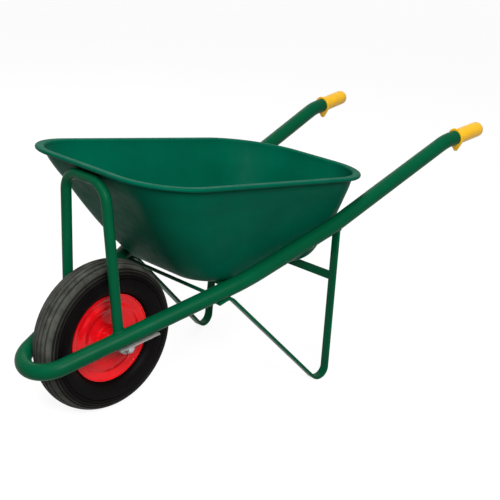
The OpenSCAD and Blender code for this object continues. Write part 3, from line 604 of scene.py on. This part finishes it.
def tread_grooves(g):
    """Places of the tread's grooves across the wheel, evenly spaced from shoulder to shoulder."""
    pitch = 2 * (TYRE_HALF - SHOULDER) / (g.groove_count + 1)
    return (np.arange(g.groove_count) - (g.groove_count - 1) / 2) * pitch


# Read only by the tyre's finish, to place the shade painted into the grooves
def groove_centres(g):
    """(radius, place across) of each groove on one side of the middle plane."""
    across = tread_grooves(g)
    across = across[across > -1e-6]
    shoulder = resampled(shoulder_line(g), SHOULDER_GROOVES).tolist()
    return [[float(tread_radius(g, w)), float(w)] for w in across] + shoulder


def tyre_finish(name, rubber, tread):
    """Rubber: black side walls with fine moulded rings, a paler worn tread and a dry, grainy surface.
    The grooves are painted dark, as shade in them: the pale worn colour fades out within a groove's half
    width of its centre."""
    material, tree, shader = tree_of(name)
    g = bpy.context.scene.barrow_wheel
    r, w, place = axle_polar(tree)
    near = 1.0
    # Distance to the nearest groove centre, which places the shade painted into the grooves
    for r0, w0 in groove_centres(g):
        off = hypotenuse(tree, calc(tree, "SUBTRACT", r, r0), calc(tree, "SUBTRACT", w, w0))
        near = calc(tree, "MINIMUM", near, off)
    on_tread = ranged(tree, r, 0.166, 0.188, 0.0, 1.0)
    top_of_rib = ranged(tree, w, 0.030, 0.047, 1.0, 0.35)
    dust = ranged(tree, noise(tree, place, 26.0, 5.0, 0.6), 0.35, 0.7, 0.35, 1.0)
    # Painted shade in the grooves: 0 within a groove, so the black wall colour shows there instead of the
    # pale tread
    clear = ranged(tree, near, g.groove_w * 0.4, g.groove_w * 0.85, 0.0, 1.0)
    share = product(tree, on_tread, top_of_rib, dust, clear)
    wall = mottled(tree, drifting(tree, place, 12.0), rubber, 0.8, 1.5)
    put(tree, shader, {
        "Base Color": blended(tree, share, wall, tread),
        "Roughness": ranged(tree, share, 0.0, 1.0, 0.48, 0.74),
        "Specular IOR Level": 0.04,
    })
    band = product(tree, ranged(tree, r, 0.128, 0.134, 0.0, 0.3), ranged(tree, r, 0.168, 0.174, 1.0, 0.0))
    rings = product(tree, calc(tree, "SINE", product(tree, r, 1900.0)), band)
    grain = product(tree, noise(tree, place, 700.0, 2.0), 0.5)
    raised(tree, shader, calc(tree, "ADD", rings, grain), 0.00035)
    return material


def plain_finish(name, rgb, drift, tones, rough, relief, **more):
    """Colour that drifts between two tones of itself, over a fine relief. The roughness is one number or
    follows the drift. Drift is (scale, detail, roughness) and relief is (scale, detail, depth)."""
    material, tree, shader = tree_of(name)
    place = object_place(tree)
    share = drifting(tree, place, *drift)
    if not isinstance(rough, float):
        rough = ranged(tree, share, 0.0, 1.0, *rough)
    put(tree, shader, {"Base Color": mottled(tree, share, rgb, *tones), "Roughness": rough, **more})
    *grain, depth = relief
    raised(tree, shader, noise(tree, place, *grain), depth)
    return material


def metal(name, rgb, scale, rough, metallic):
    """Plated or turned metal: mottled grey with a grainy sheen."""
    return plain_finish(name, rgb, (scale, 5.0, 0.6), (0.72, 1.1), (rough, rough + 0.2),
                        (900.0, 2.0, 0.00006), Metallic=metallic)


def moulded(name, rgb, rough):
    """Moulded plastic or rubber: an even colour with a fine matt texture."""
    return plain_finish(name, rgb, (30.0,), (0.93, 1.04), (rough, rough + 0.1), (1100.0, 2.0, 0.00005))


def weld_finish(name, rgb):
    """Painted weld: the tube's paint over fine ripples."""
    return plain_finish(name, rgb, (160.0, 4.0), (0.7, 1.0), 0.38, (480.0, 3.0, 0.0004),
                        **{"Specular IOR Level": 0.12})


def finish_of(key):
    """The finish kept under this key, made the first time it is asked for."""
    c = bpy.context.scene.barrow_colours
    # Maker, colour and the maker's own values; gloss_paint's are rough, peel, dull, bright, shine, coat
    makers = {
        "green_paint": (gloss_paint, c.tube_green, 0.34, 0.00012, 0.86, 1.10, 0.05),
        "tray_paint": (gloss_paint, c.tray_green, 0.46, 0.00016, 0.88, 1.12, 0.02),
        "red_paint": (gloss_paint, c.red, 0.20, 0.00006, 0.95, 1.05, 0.14, 0.16),
        "tyre_rubber": (tyre_finish, c.rubber, c.tread),
        "tube_rubber": (moulded, c.rubber, 0.5),
        "zinc": (metal, c.zinc, 60.0, 0.42, 0.25),
        "steel": (metal, c.steel, 90.0, 0.20, 0.85),
        "black_plastic": (moulded, c.plastic, 0.4),
        "yellow_grip": (moulded, c.yellow, 0.32),
        "weld_green": (weld_finish, c.tube_green),
    }
    if key not in FINISHES:
        maker, *values = makers[key]
        FINISHES[key] = maker(key, *values)
    return FINISHES[key]


FINISHES = {}


# ---- Operators ----


def stood(item, place, right, up, back):
    """Stands a camera or a lamp at a place, looking against its back direction."""
    turn = Matrix(np.stack([right, up, back], 1).tolist())
    item.matrix_world = Matrix.Translation(place.tolist()) @ turn.to_4x4()
    bpy.context.scene.collection.objects.link(item)


def seen_rays(tree):
    """1 for rays from the camera, off a glossy surface or through a clear one, 0 for all others."""
    rays = tree.nodes.new("ShaderNodeLightPath").outputs
    seen = calc(tree, "MAXIMUM", rays["Is Camera Ray"], rays["Is Glossy Ray"])
    return calc(tree, "MAXIMUM", seen, rays["Is Transmission Ray"])


class BARROW_OT_stage(Operator):
    """Sets the camera, the pale floor, the lamps and the world"""

    bl_idname = "barrow.stage"
    bl_label = "Stage"

    azimuth = -45.5
    elevation = 19.0
    roll = 3.3
    distance = 3.0995
    sensor = 36
    lens_share = 2.195
    target = (0.5149, 0.0, 0.1221)
    floor_reach = 30.0
    floor_glow = 0.88
    world_light = 0.08
    aim_height = 0.35
    # Name, place, size and power of each lamp
    lamps = (
        ("key_lamp", (-1.7, -2.7, 2.2), 1.3, 112.0),
        ("side_lamp", (-2.4, -0.9, 3.4), 1.2, 44.0),
        ("back_lamp", (1.4, 2.9, 3.2), 2.0, 22.0),
        ("top_lamp", (-0.3, 0.2, 3.6), 1.4, 30.0),
    )

    def execute(self, context):
        self.camera(context.scene)
        self.floor(context.scene)
        for lamp in self.lamps:
            self.lamp(*lamp)
        self.world(context.scene)
        context.scene.view_settings.view_transform = "Standard"
        return {"FINISHED"}

    def camera(self, scene):
        a, e, r = (radians(v) for v in (self.azimuth, self.elevation, self.roll))
        back = np.array([sin(a) * cos(e), -cos(a) * cos(e), sin(e)])
        right = unit(np.cross(-back, [0, 0, 1]))
        up = np.cross(back, right)
        data = bpy.data.cameras.new("camera")
        data.sensor_width = self.sensor
        data.lens = self.sensor * self.lens_share
        data.clip_end = 100
        scene.camera = bpy.data.objects.new("camera", data)
        stood(scene.camera, AXLE + np.array(self.target) + self.distance * back,
              cos(r) * right + sin(r) * up, -sin(r) * right + cos(r) * up, back)

    def floor(self, scene):
        reach = self.floor_reach
        mesh = bpy.data.meshes.new("floor")
        corners = [(-reach, -reach, 0), (reach, -reach, 0), (reach, reach, 0), (-reach, reach, 0)]
        mesh.from_pydata(corners, [], [(0, 1, 2, 3)])
        material, tree, shader = tree_of("floor")
        put(tree, shader, {
            "Base Color": (*scene.barrow_colours.floor, 1.0), "Roughness": 0.9,
            "Emission Color": (1, 1, 1, 1),
            "Emission Strength": product(tree, seen_rays(tree), self.floor_glow),
        })
        mesh.materials.append(material)
        floor = bpy.data.objects.new("floor", mesh)
        scene.collection.objects.link(floor)

    def lamp(self, name, place, size, power):
        data = bpy.data.lights.new(name, "AREA")
        data.shape = "SQUARE"
        data.size = size
        data.energy = power
        place = np.array(place)
        back = unit(place - np.array([0, 0, self.aim_height]))
        right = unit(np.cross([0, 0, 1], back))
        stood(bpy.data.objects.new(name, data), place, right, np.cross(back, right), back)

    def world(self, scene):
        scene.world = bpy.data.worlds.new("world")
        scene.world.use_nodes = True
        tree = scene.world.node_tree
        tree.nodes.clear()
        lit, white = (node(tree, "Background", {"Color": (1, 1, 1, 1), "Strength": strength})
                      for strength in (self.world_light, 1.0))
        mixed = node(tree, "MixShader", {0: seen_rays(tree), 1: lit, 2: white})
        put(tree, tree.nodes.new("ShaderNodeOutputWorld"), {"Surface": mixed})


class BARROW_OT_tubes(Operator):
    """Carries a circle along the one-piece frame tube and along the hoop under the tray's front"""

    bl_idname = "barrow.tubes"
    bl_label = "Tubes"

    def execute(self, context):
        t = context.scene.barrow_tubes
        lines = route()
        for name, path, reference, d in (
            ("frame_tube", lines.frame_path(), lines.above, t.tube_d),
            ("front_hoop", lines.hoop_path(), np.array([1.0, 0, 0]), t.hoop_d),
        ):
            tube = carried(*path, reference, round_profile(d / 2, t.sides))
            surface(name + "_smooth", [tube], "frame", "green_paint", (name,))
        return {"FINISHED"}


class BARROW_OT_legs(Operator):
    """Carries a flat bar with rounded edges along each leg and its strut"""

    bl_idname = "barrow.legs"
    bl_label = "Legs"

    edge = 0.0016

    def execute(self, context):
        g = context.scene.barrow_legs
        lines = route()
        places, heads = lines.leg_path()
        outline = bar_profile(g.bar_w, g.bar_t, self.edge)
        bar = carried(places, heads, np.cross(lines.leg_normal, heads), outline)
        for name, grid in (("leg_right", bar), ("leg_left", flipped(bar))):
            surface(name + "_bar", [grid], "frame", "green_paint", (name,), 40.0)
        return {"FINISHED"}


class BARROW_OT_tray(Operator):
    """Lofts the pressed tray from its floor to its rolled rim"""

    bl_idname = "barrow.tray"
    bl_label = "Tray"

    corner_steps = 28
    side_steps = 20
    end_steps = 5

    def execute(self, context):
        grid = self.loft(context.scene.barrow_tray)
        surface("tray_pressed", [grid], "frame", "tray_paint", ("tray",), 50.0)
        return {"FINISHED"}

    def loft(self, t):
        """Rings of (share from floor to rim, share of height, distance outwards, lift)."""
        roll_r = t.roll_d / 2
        bend = t.roll_d * 0.6
        wall = joined(
            curve3([-0.10, 0], [0, 0], [0.10, 0.10], 14),
            stack(np.linspace(0.10, 0.76, 14)[1:-1], np.linspace(0.10, 0.755, 14)[1:-1]),
            curve3([0.76, 0.755], [0.975, 0.93], [1, 1], 16),
        )
        h = np.clip(wall[:, 1], 0, 1)
        out = wall[:, 0] + t.belly * 6.75 * h * (1 - h) ** 2
        inner = stack(out, wall[:, 1], np.full(len(h), -t.sheet),
                          (1 - wall[:, 1]) * t.sheet + wall[:, 1] * (roll_r - bend))
        outer = stack(out, wall[:, 1], np.zeros(len(h)), wall[:, 1] * (roll_r - bend - t.sheet))

        def lip(points):
            points = np.asarray(points)
            return joined(np.ones((len(points), 2)), points, axis=1)

        def lip_curve(r, start, end):
            return lip(arc([t.lip_w, 0], r, start, end, 18))

        turn_in = arc([bend - t.sheet, roll_r - bend], bend, 180, 90, 8)[1:]
        turn_under = arc([bend, roll_r - bend - t.sheet], bend - t.sheet * 0.5, 180, 100, 6)[1:]
        section = joined(
            inner, lip(turn_in), lip([[t.lip_w * 0.7, roll_r]]),
            lip_curve(roll_r, 90, -160), lip_curve(roll_r - t.sheet, -160, 90),
            lip([[t.lip_w * 0.7, roll_r - t.sheet]]), lip(turn_under[::-1]), outer[::-1],
        )
        return self.rings(t, section)

    def rings(self, t, section):
        """Outline of two straight ends, two sides and four round corners, at each ring of the section."""
        floor = np.array([t.floor_front, t.floor_rear, t.floor_half, t.floor_half, t.floor_r, t.floor_rear_r])
        wall = np.array([t.lip_w - t.rim_front, t.rim_rear - t.lip_w, t.rim_front_half - t.lip_w,
                         t.rim_rear_half - t.lip_w, t.rim_front_r - t.lip_w, t.rim_rear_r - t.lip_w])
        outward = np.array([-1, 1, 1, 1, 1, 1])
        share, height, out, lift = (section[:, i:i + 1] for i in range(4))
        grown = joined(np.repeat(share, 4, 1), np.repeat(share**3, 2, 1), axis=1)
        x1, x2, y1, y2, r1, r2 = (floor + grown * (wall - floor) + out * outward).T
        c1 = stack(x1 + r1, y1 - r1)
        c2 = stack(x2 - r2, y2 - r2)
        v = c2 - c1
        lean = (np.arctan2(v[:, 1], v[:, 0]) + np.arccos((r1 - r2) / np.linalg.norm(v, axis=1)))[:, None]
        k = np.linspace(0, 1, self.corner_steps + 1)[None, :]

        def corner(centre, r, start, end):
            a = start + (end - start) * k
            return centre[:, None] + r[:, None, None] * stack(np.cos(a), np.sin(a))

        first = corner(c1, r1, pi, lean)
        second = corner(c2, r2, lean, 0)
        s = np.linspace(0, 1, self.side_steps + 1)[1:-1][None, :, None]
        side = first[:, -1:] + s * (second[:, :1] - first[:, -1:])
        e = np.linspace(0, 1, self.end_steps + 1)[None, :-1, None]
        front_mid, rear_mid = (stack(x, 0.0)[:, None] for x in (x1, x2))
        front = front_mid + e * (first[:, :1] - front_mid)
        rear = rear_mid + e[:, ::-1] * (second[:, -1:] - rear_mid)
        half = joined(front, first, side, second, rear, axis=1)
        other = half[:, 1:-1][:, ::-1] * np.array([1, -1])
        flat = joined(half, other, axis=1)
        along = (flat[..., 0] + t.rim_front) / (t.rim_front + t.rim_rear)
        depth = t.depth_front + (t.depth_rear - t.depth_front) * along
        floor_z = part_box("tray")[0][2]
        z = floor_z + height * depth + lift
        return stack(flat[..., 0] + AXLE[0], flat[..., 1], z)


class BARROW_OT_tyre(Operator):
    """Turns the ribbed tyre about the axle"""

    bl_idname = "barrow.tyre"
    bl_label = "Tyre"

    def execute(self, context):
        g = context.scene.barrow_wheel
        half = TYRE_HALF
        shoulder = half - SHOULDER
        widest = g.flange_r + WIDEST
        w = np.linspace(-shoulder, shoulder, 241)
        off = np.abs(w[:, None] - tread_grooves(g)[None, :]).min(1)
        tread = stack(tread_radius(g, w) - g.groove_depth * groove_cut(g.groove_w, off), w)
        upper = self.ribbed(shoulder_line(g), g.groove_w * 0.7, g.groove_depth * 0.6)
        side = joined(
            upper,
            curve3([widest - 0.008, half - 0.0005], [g.flange_r + 0.007, half - 0.003],
                   [g.flange_r + 0.002, g.rim_half + 0.0025], 14),
            [[g.flange_r - 0.0015, g.rim_half - 0.0002], [g.seat_r + 0.005, g.rim_half - 0.0002],
             [g.seat_r + 0.0004, g.rim_half - 0.0055]],
        )
        inner_w = half - g.tyre_wall
        under_tread = TYRE_R - g.tyre_wall - g.groove_depth
        inner = joined(
            [[g.seat_r + 0.0004, g.rim_half - 0.014]],
            curve3([g.seat_r + 0.014, g.rim_half - 0.012], [widest - 0.018, inner_w], [widest, inner_w], 6),
            curve3([widest + 0.006, inner_w - 0.0002], [under_tread - 0.002, inner_w],
                   [under_tread, 0.012], 6),
        )
        mirror = np.array([1, -1])
        loop = joined(side[::-1] * mirror, tread, side, inner, (inner * mirror)[::-1])
        surface("tyre_ribbed", [turned(loop, g.turns)], "wheel", "tyre_rubber", ("tyre",), 40.0, True)
        return {"FINISHED"}

    def ribbed(self, line, width, depth):
        """Sinks shallow grooves into the shoulder, square to it, at even steps along its upper part."""
        off = np.abs(run_along(line)[:, None] - SHOULDER_GROOVES[None, :]).min(1)
        cut = depth * groove_cut(width, off)
        head = unit(np.gradient(line, axis=0))
        return line - cut[:, None] * stack(head[:, 1], -head[:, 0])


class BARROW_OT_discs(Operator):
    """Turns the two pressed wheel discs, with their rolled flanges, and the hub"""

    bl_idname = "barrow.discs"
    bl_label = "Wheel discs"

    def execute(self, context):
        g = context.scene.barrow_wheel
        loop = self.sheet(self.line(g), g.disc_t / 2)
        for name, sign in (("wheel_disc_right", 1), ("wheel_disc_left", -1)):
            grid = turned(loop * np.array([1, sign]), g.turns)
            surface(name + "_pressed", [grid], "wheel", "red_paint", (name,), 50.0, True)
        hub = turned(self.hub(g), g.turns)
        surface("wheel_hub_painted", [hub], "wheel", "red_paint", ("wheel_hub",), 30.0, True)
        return {"FINISHED"}

    def hub(self, g):
        """Closed outline of the hub: a plain sleeve with chamfered ends round its bearing seats."""
        half, edge, bore, neck = g.hub_half, 0.0012, g.hub_bore_r, g.hub_neck_r
        seat = half - g.hub_seat
        right = [[neck, seat], [bore, seat], [bore, half - edge], [bore + edge, half],
                 [g.hub_r - edge, half], [g.hub_r, half - edge]]
        return np.array([*right, *[[r, -w] for r, w in right[::-1]]])

    def line(self, g):
        """Middle of the sheet from the hub's collar over a raised ring to the rolled flange."""
        dish_w = g.rim_half - 0.005
        valley_r = g.seat_r - 0.0025
        flange_mid = g.rim_half + g.disc_t / 2
        collar = g.hub_r + 0.0002 + g.disc_t / 2
        r = np.linspace(collar + 0.0035, valley_r - 0.001, 60)
        u = np.clip((r - g.ring_r) / g.ring_half, -1, 1)
        w = dish_w + g.ring_h * (1 + np.cos(np.pi * u)) / 2
        w = w + 0.002 * np.clip((r - g.ring_r) / (valley_r - g.ring_r), 0, None)
        inner = curve3([collar, dish_w + 0.010], [collar, dish_w], [r[0], w[0]], 10)[:-1]
        rise = curve3([r[-1], w[-1]], [g.seat_r + 0.001, flange_mid - 0.001],
                      [g.seat_r + 0.0055, flange_mid], 8)[1:]
        roll_mid = g.flange_r - g.disc_t / 2
        lip = curve3([g.flange_r - 0.005, flange_mid], [roll_mid, flange_mid],
                     [roll_mid, flange_mid + 0.005], 8)
        return joined(inner, stack(r, w), rise, lip)

    def sheet(self, line, half):
        """Closed outline at half a thickness on both sides of the line, square to its direction."""
        head = unit(np.gradient(line, axis=0))
        side = stack(-head[:, 1], head[:, 0])
        return joined(line + half * side, (line - half * side)[::-1])


class BARROW_OT_grips(Operator):
    """Makes the two moulded grips with their hanging guards"""

    bl_idname = "barrow.grips"
    bl_label = "Grips"

    round_r = 0.017
    sides = 56
    guard_edge = 0.0016

    def execute(self, context):
        g = context.scene.barrow_legs
        lines = route()
        ez = lines.hand_dir
        ex = unit(np.cross(ez, [0, 0, 1]))
        ey = np.cross(ez, ex)
        start = g.grip_end - g.grip_len
        grids = [self.body(g, start), self.guard(g, start)]
        for name, sign in (("grip_right", 1), ("grip_left", -1)):
            placed = [p[..., 0:1] * ex + p[..., 1:2] * ey + p[..., 2:3] * ez + lines.hand_end for p in grids]
            placed = [(p if sign > 0 else flipped(p)) + AXLE for p in placed]
            surface(name + "_moulded", placed, "frame", "yellow_grip", (name,), 50.0)
        return {"FINISHED"}

    def body(self, g, start):
        """Sleeve that swells to its middle and closes in a round tip."""
        neck = start + g.guard_t * 0.6
        z = np.linspace(neck, g.grip_end - self.round_r, 28)
        r = g.grip_r - 0.0003 * (2 * (z - start) / g.grip_len - 1) ** 2
        tip = arc([g.grip_r - 0.0004 - self.round_r, g.grip_end - self.round_r], self.round_r, 4, 88, 12)
        line = joined(stack(r, z), tip)
        return spun(line, self.sides)

    def guard(self, g, start):
        """Plate with the outline of a round collar and a small hanging tip, its edges rounded over."""
        tip_y = g.guard_drop - g.guard_tip_r
        lean = degrees(acos((g.guard_r - g.guard_tip_r) / tip_y))
        around = arc([0, 0], g.guard_r, 90 + lean, 450 - lean, 60)
        tip = arc([0, tip_y], g.guard_tip_r, 90 - lean, 90 + lean, 20)
        outline = joined(around, tip)
        head = unit(np.roll(outline, -1, 0) - np.roll(outline, 1, 0))
        outward = stack(head[:, 1], -head[:, 0])
        turn = np.radians([0, 30, 60, 90])
        inset = self.guard_edge * (1 - np.sin(turn))
        rise = self.guard_edge * (1 - np.cos(turn))
        inset = joined(inset, inset[::-1])
        z = joined(rise, g.guard_t - rise[::-1])
        rings = outline[None] - inset[:, None, None] * outward[None]
        return stack(rings[..., 0], rings[..., 1], (start + z)[:, None])


class BARROW_OT_welds(Operator):
    """Lays rippled weld beads where the hoop and the legs meet the rails"""

    bl_idname = "barrow.welds"
    bl_label = "Welds"

    bead_r = 0.0023
    run_up = 0.08

    def execute(self, context):
        t = context.scene.barrow_tubes
        g = context.scene.barrow_legs
        lines = route()
        corner, foot = lines.hoop_corners()
        down = unit(foot - corner)
        hoop = self.seam(lines, round_profile(t.hoop_d / 2 + 0.0006, 120), foot - self.run_up * down, down,
                         np.array([1.0, 0, 0]), t.hoop_foot_x)
        up = unit(lines.leg_corners[3] - lines.leg_corners[2])
        outline = self.dense(bar_profile(g.bar_w + 0.001, g.bar_t + 0.001, 0.0018))
        leg = self.seam(lines, outline, lines.leg_corners[3] - self.run_up * up, up,
                        np.cross(lines.leg_normal, up), g.leg_x)
        for name, path in (("hoop", hoop), ("leg", leg)):
            for side, points in (("right", path), ("left", flipped(path))):
                surface(f"weld_{name}_{side}", [self.bead(points + AXLE)], "frame", "green_paint",
                        (), 60.0, True, "weld_green")
        return {"FINISHED"}

    def dense(self, outline):
        """Outline resampled evenly along its length."""
        closed = joined(outline, outline[:1])
        return resampled(closed, np.linspace(0, run_along(closed)[-1], 140, endpoint=False))

    def seam(self, lines, outline, start, head, reference, rail_x):
        """Where lines through the outline, along head, first reach the rail's cylinder."""
        side = unit(np.cross(head, reference))
        up = np.cross(side, head)
        points = start + outline[:, 0:1] * side + outline[:, 1:2] * up
        axis = lines.rail_head(rail_x)
        away = points - lines.rail_point(rail_x)
        away = away - (away @ axis)[:, None] * axis
        go = head - (head @ axis) * axis
        a, b = go @ go, away @ go
        c = np.sum(away * away, 1) - lines.r**2
        t = (-b - np.sqrt(np.clip(b * b - a * c, 0, None))) / a
        return points + t[:, None] * head

    def bead(self, path):
        """Round bead along a closed path, its radius rippling with the strokes of the torch."""
        heads = unit(np.roll(path, -1, 0) - np.roll(path, 1, 0))
        out = unit(path - path.mean(0))
        k = np.arange(len(path))
        strokes = 0.10 * np.sin(2 * pi * k / 5)
        drift = 0.06 * np.sin(2 * pi * k / len(path) * 3)
        ripple = self.bead_r * (1 + strokes + drift)
        return carried(path, heads, out, ripple[:, None, None] * round_profile(1.0, 12)[None])


class BARROW_OT_finishes(Operator):
    """Gives each carried-over solid its finish"""

    bl_idname = "barrow.finishes"
    bl_label = "Finishes"

    def execute(self, context):
        slots = {part["node"]: part["material_slot"] for part in RECORD["subparts"]}
        for name, item in NODES.items():
            material = finish_of(slots[name])
            for place in item.material_slots:
                place.material = material
            if not item.material_slots:
                item.data.materials.append(material)
        return {"FINISHED"}


OPERATORS = (
    BARROW_OT_stage, BARROW_OT_finishes, BARROW_OT_tubes, BARROW_OT_legs,
    BARROW_OT_tray, BARROW_OT_tyre, BARROW_OT_discs, BARROW_OT_grips, BARROW_OT_welds,
)
GROUPS = (
    ("barrow_tubes", BarrowTubes), ("barrow_tray", BarrowTray), ("barrow_wheel", BarrowWheel),
    ("barrow_legs", BarrowLegs), ("barrow_colours", BarrowColours),
)


class BARROW_PT_panel(Panel):
    """Lists the pieces and their sizes"""

    bl_idname = "BARROW_PT_panel"
    bl_label = "Wheelbarrow"
    bl_space_type = "VIEW_3D"
    bl_region_type = "UI"
    bl_category = "Wheelbarrow"

    def draw(self, context):
        for kind in OPERATORS:
            self.layout.operator(kind.bl_idname)
        for attribute, group in GROUPS:
            box = self.layout.box()
            box.label(text=group.__name__[6:])
            sizes = getattr(context.scene, attribute)
            for key in group.__annotations__:
                box.prop(sizes, key)


def register():
    for attribute, group in GROUPS:
        bpy.utils.register_class(group)
        setattr(bpy.types.Scene, attribute, PointerProperty(type=group))
    for kind in (*OPERATORS, BARROW_PT_panel):
        bpy.utils.register_class(kind)


def unregister():
    for kind in (BARROW_PT_panel, *reversed(OPERATORS)):
        bpy.utils.unregister_class(kind)
    for attribute, group in reversed(GROUPS):
        delattr(bpy.types.Scene, attribute)
        bpy.utils.unregister_class(group)


def main():
    register()
    for kind in OPERATORS:
        family, name = kind.bl_idname.split(".")
        result = getattr(getattr(bpy.ops, family), name)()
        if result != {"FINISHED"}:
            raise RuntimeError(kind.bl_label + " did not finish")


if __name__ == "__main__":
    main()
